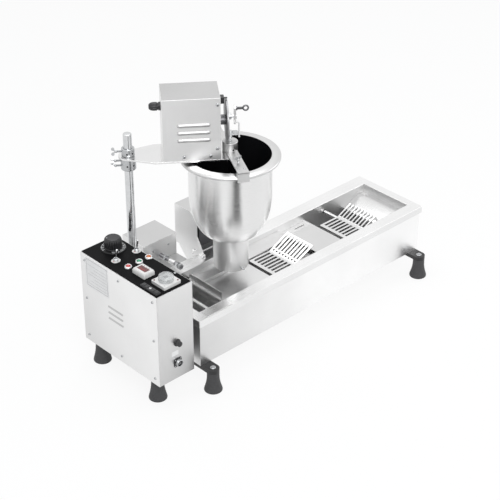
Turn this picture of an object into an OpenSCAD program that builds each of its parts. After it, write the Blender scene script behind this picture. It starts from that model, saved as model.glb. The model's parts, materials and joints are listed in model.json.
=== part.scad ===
// Automatic donut machine: fryer trough with flippers, control box, and a
// swinging head with a dough hopper, a crank and a plunger.
// Working frame: x runs along the trough, y runs from front to back, z is up.

/* [Control box] */
// Width of the control box along the trough
box_w = 124; // [110:1:150]
// Depth of the control box from front to back
box_d = 323; // [300:1:360]
// Height of the control box without its feet
box_h = 287; // [260:1:320]
// Thickness of the black panel on the box
panel_t = 2; // [1.5:0.5:4]
// Bare margin around the black panel
panel_margin = 3; // [2:0.5:6]
// Radius of the thermostat dial skirt
skirt_r = 36; // [30:1:40]
// Radius of the thermostat knob
knob_r = 26; // [18:1:28]
// Height of the thermostat knob
knob_h = 32; // [20:1:36]
// Length of each toggle lever above its pivot
toggle_len = 34; // [24:1:40]

/* [Trough] */
// Gap between the control box and the trough flange
box_gap = 16; // [10:1:30]
// Length of the trough flange
tank_l = 910; // [880:1:1000]
// Depth of the trough flange from front to back
tank_d = 262; // [255:1:290]
// Height of the trough from its underside to the flange
tank_h = 152; // [148:1:180]
// Height of the turned down edge of the flange
skirt_h = 22; // [14:1:30]
// Distance from the flange edge to the casing
casing_inset = 5; // [4:0.5:8]
// Width of the flange at the front of the oil pan
flange_front = 35; // [25:1:40]
// Width of the flange at the back of the oil pan
flange_back = 43; // [35:1:50]
// Width of the flange at the left end of the oil pan
flange_left = 30; // [20:1:36]
// Width of the flange at the right end of the oil pan
flange_right = 25; // [18:1:32]
// Depth of the oil pan under the flange
pan_depth = 140; // [132:1:142]
// Depth of the guide decks under the flange
deck_drop = 27; // [24:1:32]
// Height of the rubber feet under the casings
foot_h = 75; // [60:1:90]
// Radius of a foot where it stands
foot_r = 26; // [22:1:30]

/* [Flippers] */
// Distance from the left inside wall of the pan to the first flipper shaft
flipper_x1 = 389; // [380:1:400]
// Distance between the two flipper shafts
flipper_pitch = 288; // [280:1:300]
// Reach of a flipper grid from its shaft
flipper_reach = 84; // [70:1:86]
// Width of a flipper grid along its shaft
flipper_w = 108; // [90:1:114]
// Radius of a flipper shaft
flipper_shaft_r = 5; // [4:0.5:6]
// Length of the flipper levers
lever_len = 32; // [24:1:36]

/* [Post and head] */
// Radius of the post
post_r = 12; // [10:0.5:15]
// Height of the post above the flange level
post_h = 449; // [430:1:465]
// Distance of the arm plate's underside below the post's top
arm_drop = 70; // [64:1:76]
// Thickness of the arm plate
arm_t = 5; // [4:0.5:8]
// Width of the arm plate
arm_w = 108; // [90:1:120]
// Angle of the arm from the trough's long axis
arm_yaw = -37; // [-40:1:-30]
// Distance from the post to the plunger
hub_u = 277; // [272:1:290]
// Length of the motor housing along the arm
head_l = 156; // [146:1:160]
// Depth of the motor housing across the arm
head_d = 106; // [90:1:116]
// Height of the motor housing
head_h = 182; // [170:1:200]
// Radius of the crank disc
disc_r = 60; // [54:1:62]
// Thickness of the crank disc
disc_t = 5; // [4:0.5:6]
// Distance of the crank pin from the disc's axis
crank_r = 9; // [5:0.5:9]
// Height of the crank disc's axis above the arm plate
crank_z = 92; // [90:1:96]

/* [Hopper] */
// Outer radius of the hopper's rim
rim_r = 140; // [136:1:148]
// Outer radius of the hopper's body
hopper_r = 116; // [112:1:124]
// Height of the hopper from its neck to its rim
hopper_h = 252; // [240:1:262]
// Radius of the round that leads to the neck
hopper_round = 130; // [115:1:140]
// Outer radius of the nozzle
nozzle_r = 50; // [42:1:55]
// Length of the nozzle under the hopper
nozzle_h = 101; // [92:1:102]
// Wall of the hopper and nozzle
hopper_t = 2; // [1.5:0.25:3]

/* [Rear boxes] */
// Length of the rear shelf along the trough
shelf_l = 188; // [180:1:220]
// Depth of the rear shelf behind the trough
shelf_d = 146; // [140:1:160]
// Length of the drive cover
cover_l = 122; // [100:1:124]
// Depth of the drive cover
cover_d = 95; // [80:1:100]
// Height of the drive cover
cover_h = 70; // [60:1:90]
// Length of the gear hood
hood_l = 150; // [130:1:152]
// Depth of the gear hood
hood_d = 96; // [85:1:104]
// Height of the gear hood
hood_h = 129; // [120:1:140]

/* [Hidden] */

steel = [0.80, 0.81, 0.82];
bright = [0.88, 0.89, 0.90];
grey = [0.55, 0.56, 0.58];
black = [0.06, 0.06, 0.07];
rubber = [0.16, 0.16, 0.17];
white = [0.93, 0.93, 0.92];

$fn = 64;
soft_fn = 32;
over = 1;
sheet = 1.5;
gap = 0.3;
fit = 0.05;

// Control box places
box_z = foot_h;
box_top = box_z + box_h;
panel_top = box_top + panel_t;
cover_t = 1.2;
louver_l = 62;
louver_h = 7;
louver_pitch = 19;
louver_out = 2.5;
louver_z_share = 0.5;
louver_y_share = 0.55;

// Trough places
tank_x0 = box_w + box_gap;
tank_x1 = tank_x0 + tank_l;
tank_front = 8;
tank_y0 = -tank_front;
tank_y1 = tank_y0 + tank_d;
tank_top = foot_h + tank_h;
casing_x0 = tank_x0 + casing_inset;
casing_x1 = tank_x1 - casing_inset;
casing_y0 = tank_y0 + casing_inset;
casing_y1 = tank_y1 - casing_inset;
skirt_z = tank_top - skirt_h;
pan_x0 = tank_x0 + flange_left;
pan_x1 = tank_x1 - flange_right;
pan_y0 = tank_y0 + flange_front;
pan_y1 = tank_y1 - flange_back;
pan_z = tank_top - sheet - pan_depth;
deck_z = tank_top - deck_drop;
in_x0 = pan_x0 + sheet;
in_x1 = pan_x1 - sheet;
in_y0 = pan_y0 + sheet;
in_y1 = pan_y1 - sheet;
ledge_d = 53;
ledge_drop = 17;
ledge_y = in_y1 - ledge_d;
ledge_z = tank_top - ledge_drop;
divider_in = 110;
divider_x = pan_x0 + divider_in;
deck_fold = 14;

// Flipper places
axis_one = pan_x0 + flipper_x1;
axis_two = axis_one + flipper_pitch;
axis_drop = 3;
axis_z = deck_z - axis_drop;
grid_up = 4;
well_clear = 7;
divider_clear = 5;
flipper_two_in = 78;
deck_one_x0 = divider_x + divider_clear;
deck_one_x1 = axis_one - flipper_reach - well_clear;
deck_two_x0 = axis_one + flipper_reach + well_clear;
deck_two_x1 = axis_two - flipper_two_in - well_clear;
grid_clear = 3;
grid_y1 = ledge_y - grid_clear;
grid_y0 = grid_y1 - flipper_w;
grid_t = 3;
grid_frame = 7;
slot_gap = 6;
lip_h = 8;
rise = 26;
lever_gap = 12;
lever_y = casing_y1 + lever_gap;
lever_t = 6;
lever_r = 9;
lever_neck_share = 0.7;
rod_r = 4;
rod_gap = 0.5;
bore_clear = 2;
bearing_wall = 2.5;
bearing_r = flipper_shaft_r + bearing_wall;
bearing_t = 8;

// Post and arm places
post_in = 23;
post_back = 44;
post_x = tank_x0 + post_in;
post_y = tank_y1 + post_back;
plate_z0 = tank_top + post_h - arm_drop;
plate_z1 = plate_z0 + arm_t;
collar_r = 21;
collar_low_h = 36;
collar_up_h = 22;
head_u0 = 92;
head_u1 = head_u0 + head_l;
head_t = 1.2;
disc_back = 11.5;
disc_u0 = hub_u - disc_back;
disc_u1 = disc_u0 + disc_t;
crank_h = plate_z1 + crank_z;
plunger_r = 5;
hub_radius = 21.5;
hub_h = 28;
rod_out = 11;
rod_plane = hub_u + rod_out;
rod_t = 5;
wire_r = 2.5;
wire_clear = 1;
wire_u = hub_u + hub_radius + wire_clear + wire_r;
wire_rise = 37;
wire_z = plate_z1 + wire_rise;
stroke = 2 * crank_r;
cross_gap = 2;
cross_z = plate_z1 + hub_h + stroke + cross_gap;
cross_t = 6;

// Hopper places
hook_gap = 6;
rim_z = plate_z0 - hook_gap;
neck_z = rim_z - hopper_h;
nozzle_z = neck_z - nozzle_h;
inner_r = nozzle_r - hopper_t;
bar_yaw = 9;
bar_width = 32;
bar_t = 4;

// Rear places
shelf_t = 2;
shelf_z = tank_top - shelf_t;
shelf_x1 = tank_x0 + shelf_l;
shelf_y1 = tank_y1 + shelf_d;
cover_inset = 2;
cover_x1 = shelf_x1;
cover_x0 = cover_x1 - cover_l;
cover_y1 = shelf_y1 - cover_inset;
cover_y0 = cover_y1 - cover_d;
hood_gap = 40;
hood_back = 4;
hood_x0 = shelf_x1 + hood_gap;
hood_x1 = hood_x0 + hood_l;
hood_y0 = tank_y1 + hood_back;
hood_y1 = hood_y0 + hood_d;
hood_z1 = tank_top + hood_h;

// Feet places
foot_bar_t = 12;
foot_bar_w = 36;
foot_out = 29;
box_foot_x = 30;
box_foot_front = 46;
box_foot_back = 33;
box_foot_y = [box_foot_front, box_d - box_foot_back];
tank_foot_left = 25;
tank_foot_right = 28;
tank_foot_x = [tank_x0 + tank_foot_left, tank_x1 - tank_foot_right];
foot_front_y = casing_y0 - foot_out;
foot_back_y = casing_y1 + foot_out;

// The origin sits under the middle of the whole machine
screw_out = 2.5;
front_edge = foot_front_y - foot_r;
origin_x = (tank_x1 - screw_out) / 2;
origin_y = (front_edge + shelf_y1) / 2;

module placed() translate([-origin_x, -origin_y, 0]) children();
module on_arm() placed() translate([post_x, post_y, 0]) rotate([0, 0, arm_yaw]) children();

// A block given by its two opposite corners
module block(a, b) translate(a) cube(b - a);

// A cylinder that runs along x or y from a point
module bar_x(r, l) rotate([0, 90, 0]) cylinder(r = r, h = l);
module bar_y(r, l) rotate([-90, 0, 0]) cylinder(r = r, h = l);

// A plain pan head screw standing on a face that looks along +z
screw_h_share = 0.65;
module screw_head(r) {
  cylinder(r = r, h = r * screw_h_share / 2);
  translate([0, 0, r * screw_h_share / 2]) cylinder(r1 = r, r2 = r * 0.6, h = r * screw_h_share / 2);
}

// A wing screw along +z: shank, hub and two wings
wing_angle = 60;
module wing_screw(shank, l, size) {
  cylinder(r = shank, h = l);
  translate([0, 0, l]) cylinder(r = size * 0.3, h = size * 0.5);
  for (side = [-1, 1]) translate([0, 0, l + size * 0.55])
    rotate([0, side * wing_angle, 0]) rotate([90, 0, 0]) translate([0, size * 0.5, -size * 0.12])
      cylinder(r = size * 0.38, h = size * 0.24);
}

// A plate in the x-z or y-z plane with slots that run along x
module slots_x(x0, l, y0, y1, z0, count, pitch, h) for (i = [0:count - 1])
  block([x0, y0, z0 + i * pitch], [x0 + l, y1, z0 + i * pitch + h]);

// Control box

dial_x = box_w * 0.613;
dial_y = box_d * 0.842;
spindle_r = 3;
spindle_in = 5;
skirt_t = 3;
skirt_bevel = 1;
knob_bevel = 2;
module control_box_shell() color(steel) placed() difference() {
  block([cover_t, 0, box_z], [box_w, box_d, box_top]);
  block([-over, sheet, box_z + sheet], [box_w - sheet, box_d - sheet, box_top - sheet]);
  translate([dial_x, dial_y, box_top - over - sheet]) cylinder(r = spindle_r + fit, h = sheet + 2 * over);
}

louver_y0 = box_d * louver_y_share - louver_l / 2;
louver_z0 = box_z + box_h * louver_z_share;
module control_box_cover() color(steel) placed() {
  difference() {
    block([0, 0, box_z], [cover_t, box_d, box_top]);
    for (i = [-1:1]) block([-over, louver_y0, louver_z0 + i * louver_pitch - louver_h / 4],
      [cover_t + over, louver_y0 + louver_l, louver_z0 + i * louver_pitch + louver_h / 4]);
  }
  for (i = [-1:1]) translate([0, louver_y0, louver_z0 + i * louver_pitch + louver_h / 4])
    rotate([-90, 0, 0]) linear_extrude(louver_l)
      polygon([[0, 0], [0, -sheet], [-louver_out, louver_h / 2], [-louver_out + cover_t, louver_h / 2]]);
}

module control_panel() color(black) placed() difference() {
  block([panel_margin, panel_margin, box_top], [box_w - panel_margin, box_d - panel_margin, panel_top]);
  translate([dial_x, dial_y, box_top - over]) cylinder(r = spindle_r + fit, h = panel_t + 2 * over);
}

body_size = 44;
body_deep = 36;
spindle_bore = 6;
module thermostat_body() color(grey) placed() translate([dial_x, dial_y, box_top - sheet]) difference() {
  block([-body_size / 2, -body_size / 2, -body_deep], [body_size / 2, body_size / 2, 0]);
  translate([0, 0, -spindle_bore]) cylinder(r = spindle_r + fit, h = spindle_bore + over);
}

module thermostat_skirt() color(black) placed() translate([dial_x, dial_y, panel_top + gap]) {
  cylinder(r1 = skirt_r, r2 = skirt_r - skirt_bevel, h = skirt_t);
  translate([0, 0, -gap - panel_t - spindle_in]) cylinder(r = spindle_r, h = gap + panel_t + spindle_in + over);
}

flute_r = 2.2;
flute_out = 0.6;
flute_step = 15;
module thermostat_knob() color(black) placed() translate([dial_x, dial_y, panel_top + gap + skirt_t]) {
  linear_extrude(knob_h - knob_bevel) difference() {
    circle(r = knob_r);
    for (a = [0:flute_step:360 - flute_step]) rotate(a) translate([knob_r + flute_out, 0])
      circle(r = flute_r, $fn = soft_fn);
  }
  translate([0, 0, knob_h - knob_bevel])
    cylinder(r1 = knob_r - knob_bevel, r2 = knob_r - 2 * knob_bevel, h = knob_bevel);
}

switch_x = [box_w * 0.315, box_w * 0.903];
switch_y = box_d * 0.666;
bush_r = 6.5;
bush_h = 9;
bush_wall = 0.8;
nut_r = 13;
nut_t = 3;
lever_tilt = 12;
pivot_z = 4;
ball_r = 3;
lever_thin = 1.6;
lever_thick = 2.6;
module toggle_switch_bases() color(bright) placed() for (x = switch_x)
  translate([x, switch_y, panel_top]) difference() {
    union() {
      cylinder(r = bush_r, h = bush_h);
      cylinder(r = nut_r, h = nut_t, $fn = 6);
    }
    translate([0, 0, pivot_z - ball_r - gap]) cylinder(r = ball_r + gap, h = ball_r + gap + over);
    translate([0, 0, pivot_z])
      cylinder(r1 = ball_r + gap, r2 = bush_r - bush_wall, h = bush_h - pivot_z + fit);
  }

module toggle_lever(x) color(bright) placed() translate([x, switch_y, panel_top + pivot_z])
  rotate([lever_tilt, 0, 0]) {
    sphere(r = ball_r);
    cylinder(r1 = lever_thin, r2 = lever_thick, h = toggle_len);
    translate([0, 0, toggle_len]) sphere(r = lever_thick);
  }
module toggle_lever_left() toggle_lever(switch_x[0]);
module toggle_lever_right() toggle_lever(switch_x[1]);

lamp_x = [box_w * 0.339, box_w * 0.645, box_w * 0.915];
lamp_y = box_d * 0.514;
bezel_r = 9.5;
bezel_h = 6.5;
bezel_bevel = 2;
lens_r = 6.5;
lens_h = 9;
lens_bevel = 2;
module lamp_bezels() color(bright) placed() for (x = lamp_x) translate([x, lamp_y, panel_top]) difference() {
  cylinder(r1 = bezel_r, r2 = bezel_r - bezel_bevel, h = bezel_h);
  translate([0, 0, -over]) cylinder(r = lens_r, h = bezel_h + 2 * over);
}
module lamp_lens(x, c) color(c) placed() translate([x, lamp_y, panel_top]) {
  cylinder(r = lens_r, h = lens_h - lens_bevel);
  translate([0, 0, lens_h - lens_bevel]) cylinder(r1 = lens_r, r2 = lens_r - lens_bevel, h = lens_bevel);
}
module lamp_lens_red() lamp_lens(lamp_x[0], "red");
module lamp_lens_green() lamp_lens(lamp_x[1], "green");
module lamp_lens_orange() lamp_lens(lamp_x[2], "orange");

case_l = 38;
case_d = 50;
case_x = box_w * 0.274;
case_y = box_d * 0.279;
case_h = 15;
case_bevel = 4;
window_in = 7;
window_t = 1;
module counter_case() color(white) placed() translate([case_x, case_y, panel_top]) difference() {
  union() {
    cube([case_l, case_d, case_h - case_bevel]);
    translate([case_l / 2, case_d / 2, case_h - case_bevel])
      linear_extrude(case_bevel, scale = [1 - case_bevel / case_l, 1 - case_bevel / case_d])
        square([case_l, case_d], center = true);
  }
  block([window_in, window_in, case_h - window_t], [case_l - window_in, case_d - window_in, case_h + over]);
}
module counter_window() color([0.35, 0.05, 0.05]) placed() translate([case_x, case_y, panel_top])
  block([window_in, window_in, case_h - window_t],
    [case_l - window_in, case_d - window_in, case_h - window_t / 2]);

timer_l = 58;
timer_d = 54;
timer_x = box_w * 0.306;
timer_y = box_d * 0.037;
timer_t = 9;
timer_r = 21.5;
timer_h = 15;
timer_bevel = 4;
timer_pin = 4;
timer_pin_in = 5;
module timer_body() color(white) placed() translate([timer_x, timer_y, panel_top]) difference() {
  cube([timer_l, timer_d, timer_t]);
  translate([timer_l / 2, timer_d / 2, timer_t - timer_pin_in - over])
    cylinder(r = timer_pin + fit, h = timer_pin_in + 2 * over);
}
module timer_dial() color([0.85, 0.86, 0.86]) placed()
  translate([timer_x + timer_l / 2, timer_y + timer_d / 2, panel_top + timer_t + gap]) {
    cylinder(r = timer_r, h = timer_h - timer_bevel);
    translate([0, 0, timer_h - timer_bevel])
      cylinder(r1 = timer_r, r2 = timer_r - timer_bevel, h = timer_bevel);
    translate([0, 0, -gap - timer_pin_in]) cylinder(r = timer_pin, h = timer_pin_in + gap + over);
  }

relay_l = 15;
relay_d = 66;
relay_x = box_w * 0.056;
relay_y = box_d * 0.025;
relay_h = 7;
relay_screw = 3.5;
module relay_socket() color([0.2, 0.2, 0.21]) placed() translate([relay_x, relay_y, panel_top]) {
  cube([relay_l, relay_d, relay_h]);
  translate([relay_l / 2, relay_d / 2, relay_h]) screw_head(relay_screw);
}

contactor_in = [30, 60];
contactor_size = [60, 70, 55];
terminal_in = [34, 150];
terminal_size = [26, 100, 25];
module contactor() color([0.3, 0.3, 0.32]) placed() translate([0, 0, box_z + sheet]) {
  translate([contactor_in[0], contactor_in[1], 0]) cube(contactor_size);
  translate([terminal_in[0], terminal_in[1], 0]) cube(terminal_size);
}

front_x = box_w * 0.53;
fuse_z = box_z + box_h * 0.406;
fuse_r = 8;
fuse_flange_r = 11;
fuse_flange_t = 3;
fuse_l = 14;
module fuse_holder() color(black) placed() translate([front_x, 0, fuse_z]) rotate([90, 0, 0]) {
  cylinder(r = fuse_flange_r, h = fuse_flange_t);
  cylinder(r = fuse_r, h = fuse_l);
}

socket_z = box_z + box_h * 0.183;
socket_r = 11;
socket_bore_r = 8;
socket_l = 12;
socket_floor = 4;
socket_plate = 26;
socket_plate_t = 2;
module power_socket() color(black) placed() translate([front_x, 0, socket_z]) rotate([90, 0, 0]) {
  difference() {
    cylinder(r = socket_r, h = socket_l);
    translate([0, 0, socket_floor]) cylinder(r = socket_bore_r, h = socket_l);
  }
  translate([-socket_plate / 2, -socket_plate / 2, 0]) cube([socket_plate, socket_plate, socket_plate_t]);
}

// Screw places on the side cover as shares of its depth and height
side_screw_shares = [[0.056, 0.93], [0.495, 0.93], [0.944, 0.93], [0.056, 0.5], [0.944, 0.5],
  [0.056, 0.07], [0.495, 0.07], [0.944, 0.07]];
timer_screw_in = 6;
timer_screw_r = 2.5;
panel_screw_r = 4;
cover_screw_r = 3.5;
cover_screw_shares = [0.28, 0.75];
module sheet_screws() color(bright) placed() {
  for (s = side_screw_shares) translate([0, box_d * s[0], box_z + box_h * s[1]])
    rotate([0, -90, 0]) screw_head(screw_out / screw_h_share);
  for (x = [timer_screw_in, timer_l - timer_screw_in], y = [timer_screw_in, timer_d - timer_screw_in])
    translate([timer_x + x, timer_y + y, panel_top + timer_t]) screw_head(timer_screw_r);
  translate([box_w * 0.935, box_d * 0.186, panel_top]) screw_head(panel_screw_r);
  for (s = cover_screw_shares) translate([cover_x0 + cover_l * s, cover_y0, tank_top + cover_h * 0.6])
    rotate([90, 0, 0]) screw_head(cover_screw_r);
}

// Feet

foot_lip = 6;
foot_bevel = 2;
waist_share = 0.8;
flare_steps = 6;
foot_waist = foot_r * 0.68;
bolt_r = 5;
bolt_h = 4;
module foot_one(top) rotate_extrude() polygon(concat(
  [[0, 0], [foot_r - foot_bevel, 0], [foot_r, foot_bevel], [foot_r, foot_lip]],
  [for (i = [1:flare_steps]) let (t = i / flare_steps)
    [foot_waist + (foot_r - foot_waist) * (1 - t) * (1 - t), foot_lip + (top * waist_share - foot_lip) * t]],
  [[foot_waist, top], [0, top]]));

module rubber_feet() color(rubber) placed() {
  for (y = box_foot_y) translate([box_foot_x, y, 0]) foot_one(foot_h);
  for (x = tank_foot_x, y = [foot_front_y, foot_back_y]) translate([x, y, 0]) foot_one(foot_h - foot_bar_t);
}

module foot_bars() color(black) placed() for (x = tank_foot_x) translate([x, 0, foot_h - foot_bar_t]) {
  block([-foot_bar_w / 2, foot_front_y, 0], [foot_bar_w / 2, foot_back_y, foot_bar_t]);
  for (y = [foot_front_y, foot_back_y]) translate([0, y, 0]) {
    cylinder(r = foot_bar_w / 2, h = foot_bar_t);
    translate([0, 0, foot_bar_t]) cylinder(r = bolt_r, h = bolt_h);
  }
}

bracket_y = [60, 200];
bracket_w = 24;
bracket_rise = 12;
bracket_h = 48;
module box_brackets() color(grey) placed() for (y = bracket_y)
  block([box_w, y, foot_h + bracket_rise], [casing_x0, y + bracket_w, foot_h + bracket_rise + bracket_h]);

// Trough

module tank_casing() color(steel) placed() difference() {
  block([casing_x0, casing_y0, foot_h], [casing_x1, casing_y1, skirt_z]);
  block([casing_x0 + sheet, casing_y0 + sheet, foot_h + sheet],
    [casing_x1 - sheet, casing_y1 - sheet, skirt_z + over]);
  for (x = [axis_one, axis_two]) translate([x, casing_y1 - sheet - over, axis_z])
    bar_y(flipper_shaft_r + bore_clear, sheet + 2 * over);
}

module tank_rim() color(bright) placed() difference() {
  block([tank_x0, tank_y0, skirt_z], [tank_x1, tank_y1, tank_top]);
  block([tank_x0 + sheet, tank_y0 + sheet, skirt_z + sheet],
    [tank_x1 - sheet, tank_y1 - sheet, tank_top - sheet]);
  block([casing_x0 + sheet, casing_y0 + sheet, skirt_z - over],
    [casing_x1 - sheet, casing_y1 - sheet, skirt_z + 2 * sheet]);
  block([in_x0, in_y0, skirt_z - over], [in_x1, in_y1, tank_top + over]);
}

module oil_pan() color(steel) placed() difference() {
  block([pan_x0, pan_y0, pan_z], [pan_x1, pan_y1, tank_top - sheet]);
  block([in_x0, in_y0, pan_z + sheet], [in_x1, in_y1, tank_top + over]);
  for (x = [axis_one, axis_two]) translate([x, in_y1 - over, axis_z])
    bar_y(flipper_shaft_r + bore_clear, sheet + 2 * over);
}

heater_r = 4;
heater_z = pan_z + sheet + heater_r;
heater_in = 30;
heater_pitch = 50;
module heater_elements() color(grey) placed() for (i = [0:2])
  translate([in_x0, in_y0 + heater_in + i * heater_pitch, heater_z]) bar_x(heater_r, in_x1 - in_x0 - heater_in);

// A deck plate with both ends folded down
module deck(x0, x1) {
  block([x0, in_y0, deck_z - sheet], [x1, in_y1, deck_z]);
  for (x = [x0, x1 - sheet]) block([x, in_y0, deck_z - deck_fold], [x + sheet, in_y1, deck_z - sheet]);
}
module deck_left() color(bright) placed() deck(deck_one_x0, deck_one_x1);

deck_lip_w = 20;
deck_lip_h = 6;
deck_slit = 40;
deck_slit_w = 4;
deck_slit_in = 14;
deck_slit_x = 52;
module deck_middle() color(bright) placed() difference() {
  union() {
    deck(deck_two_x0, deck_two_x1);
    translate([0, in_y1, 0]) rotate([90, 0, 0]) linear_extrude(in_y1 - in_y0)
      polygon([[deck_two_x0, deck_z - sheet], [deck_two_x0, deck_z + deck_lip_h],
        [deck_two_x0 + deck_lip_w, deck_z - sheet]]);
  }
  block([deck_two_x0 + deck_slit_x, in_y1 - deck_slit_in - deck_slit_w, deck_z - sheet - over],
    [deck_two_x0 + deck_slit_x + deck_slit, in_y1 - deck_slit_in, deck_z + over]);
}

// The raised ledge behind the first deck and flipper, open under its top
module channel_ledge() color(bright) placed() difference() {
  block([deck_one_x0, ledge_y, deck_z], [deck_two_x0, in_y1, ledge_z]);
  block([deck_one_x0 - over, ledge_y + sheet, deck_z - over],
    [deck_two_x0 + over, in_y1 - sheet, ledge_z - sheet]);
  translate([axis_one, ledge_y - over, axis_z]) bar_y(flipper_shaft_r + bore_clear, ledge_d + 2 * over);
}

divider_deep = 20;
divider_front = 28;
divider_back = 14;
divider_up = 2;
divider_foot = 12;
rail_x = [40, 76];
rail_w = 10;
rail_h = 10;
rail_drop = 24;
module divider_plate() color(bright) placed() {
  block([divider_x, in_y0 + divider_front, deck_z - divider_deep],
    [divider_x + sheet, in_y1 - divider_back, tank_top + divider_up]);
  block([divider_x, in_y0, deck_z - divider_deep - sheet],
    [deck_one_x0 + divider_foot, in_y1, deck_z - divider_deep]);
  for (x = rail_x) block([pan_x0 + x, in_y0, deck_z - rail_drop - rail_h],
    [pan_x0 + x + rail_w, in_y1, deck_z - rail_drop]);
}

clip_x = 34;
clip_l = 91;
clip_w = 28;
clip_in = 3;
module rim_clip() color(bright) placed() block([tank_x0 + clip_x, pan_y0 - clip_in - clip_w, tank_top],
  [tank_x0 + clip_x + clip_l, pan_y0 - clip_in, tank_top + sheet]);

// The slide that leads the rings out: a slope, a round crest and a flat strip
slide_x = 88;
slide_l = 52;
slide_drop = 26;
slide_x0 = axis_two + slide_x;
slide_x1 = slide_x0 + slide_l;
crest = 4;
module exit_slide() color(bright) placed() translate([0, in_y1, 0]) rotate([90, 0, 0])
  linear_extrude(in_y1 - in_y0) polygon([
    [slide_x0, deck_z - slide_drop], [slide_x1 - crest, deck_z - crest / 2], [slide_x1, deck_z],
    [in_x1, deck_z], [in_x1, deck_z - sheet], [slide_x1, deck_z - sheet],
    [slide_x1 - crest + sheet, deck_z - crest / 2 - sheet], [slide_x0 + sheet, deck_z - slide_drop - sheet]]);

// Flippers and their drive

module shaft_bearings() color(grey) placed() for (x = [axis_one, axis_two])
  translate([x, casing_y1, axis_z]) difference() {
    bar_y(bearing_r, bearing_t);
    translate([0, -over, 0]) bar_y(flipper_shaft_r + fit, bearing_t + 2 * over);
  }

lever_neck = lever_r * lever_neck_share;
spine_w = 14;
module flipper_shaft() {
  translate([0, grid_y1 - over, 0]) bar_y(flipper_shaft_r, lever_y + lever_t - grid_y1 + over);
  block([-spine_w / 2, grid_y0, -spine_w / 2], [spine_w / 2, grid_y1, grid_up + grid_t]);
  translate([0, lever_y, 0]) {
    bar_y(lever_r, lever_t);
    translate([-lever_neck, 0, -lever_len]) cube([lever_neck * 2, lever_t, lever_len]);
    translate([0, 0, -lever_len]) bar_y(lever_neck, lever_t);
  }
}

// A grid plate that reaches along x from its shaft, with slots along x and,
// where holes is true, a row of small holes at its root
hole_in = 9;
hole_l = 6;
module grid(reach, count, root, tip, holes) {
  pitch = (flipper_w - 2 * grid_frame + slot_gap) / count;
  difference() {
    cube([reach, flipper_w, grid_t]);
    for (i = [0:count - 1]) translate([0, grid_frame + i * pitch, -over]) {
      translate([root, 0, 0]) cube([reach - root - tip, pitch - slot_gap, grid_t + 2 * over]);
      if (holes) translate([hole_in, 0, 0]) cube([hole_l, pitch - slot_gap, grid_t + 2 * over]);
    }
  }
}

slots_flat = 7;
slots_raised = 8;
root_flat = 9;
root_raised = 20;
tip_flat = 12;
tip_raised = 6;
pin_l = 8;
module flipper_one() color(bright) placed() translate([axis_one, 0, axis_z]) {
  flipper_shaft();
  translate([0, grid_y0, grid_up]) mirror([1, 0, 0])
    grid(flipper_reach, slots_flat, root_flat, tip_flat, false);
  block([-flipper_reach, grid_y0, grid_up - lip_h], [-flipper_reach + sheet, grid_y1, grid_up + grid_t]);
  translate([0, grid_y0, grid_up]) rotate([0, -rise, 0]) translate([-grid_t, 0, 0])
    grid(flipper_reach, slots_raised, root_raised, tip_raised, true);
  translate([0, lever_y + lever_t, -lever_len]) bar_y(rod_r, pin_l);
}

finger_r = 2.5;
finger_count = 9;
finger_reach = 58;
finger_tip = 24;
finger_bend = 86;
finger_pitch = (flipper_w - 2 * finger_r) / (finger_count - 1);
module finger() translate([0, 0, grid_up]) rotate([0, -rise, 0]) {
  block([0, -finger_r, -finger_r], [finger_reach + finger_r, finger_r, finger_r]);
  translate([finger_reach, 0, 0]) rotate([0, finger_bend, 0])
    block([-finger_r, -finger_r, -finger_r], [finger_tip, finger_r, finger_r]);
}
module flipper_two() color(bright) placed() translate([axis_two, 0, axis_z]) {
  flipper_shaft();
  translate([0, grid_y0, grid_up]) mirror([1, 0, 0])
    grid(flipper_two_in, slots_flat, root_flat, tip_flat, false);
  for (i = [0:finger_count - 1]) translate([0, grid_y0 + finger_r + i * finger_pitch, 0]) finger();
}

push_y = lever_y + lever_t + rod_gap;
push_eye = lever_r * 0.8;
push_h = 8;
module push_rod() color(grey) placed() translate([0, push_y, axis_z - lever_len]) difference() {
  union() {
    translate([axis_one, 0, 0]) bar_y(push_eye, lever_t);
    translate([axis_two, 0, 0]) bar_y(push_eye, lever_t);
    block([axis_one, 0, -push_h / 2], [axis_two, lever_t, push_h / 2]);
  }
  translate([axis_one, -over, 0]) bar_y(rod_r + fit, lever_t + 2 * over);
}

// Rear shelf and boxes

// A triangular bracket under a shelf, clear of the flange's skirt
gusset_t = 3;
gusset_h = 90;
gusset_nose = 8;
gusset_in = 6;
module gusset(x, reach) translate([x, 0, 0]) rotate([90, 0, 90]) linear_extrude(gusset_t)
  polygon([[casing_y1, skirt_z - gusset_h], [casing_y1, skirt_z], [tank_y1, skirt_z], [tank_y1, shelf_z],
    [tank_y1 + reach, shelf_z], [tank_y1 + reach, shelf_z - gusset_nose]]);

gusset_left = 20;
gusset_right = 12;
module rear_shelf() color(steel) placed() {
  block([tank_x0, tank_y1, shelf_z], [shelf_x1, shelf_y1, tank_top]);
  gusset(casing_x0 + gusset_left, shelf_d - gusset_in);
  gusset(shelf_x1 - gusset_right, shelf_d - gusset_in);
}

link_in = 62;
link_rise = 18;
link_x = cover_x0 + link_in;
link_z = tank_top + link_rise;
link_r = 6;
link_front = 44;
link_y0 = tank_y1 - link_front;
module drive_cover() color(steel) placed() difference() {
  block([cover_x0, cover_y0, tank_top], [cover_x1, cover_y1, tank_top + cover_h]);
  block([cover_x0 + sheet, cover_y0 + sheet, tank_top - over],
    [cover_x1 - sheet, cover_y1 - sheet, tank_top + cover_h - sheet]);
  translate([link_x, cover_y0 - over, link_z]) bar_y(link_r + fit, sheet + 2 * over);
}

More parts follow.
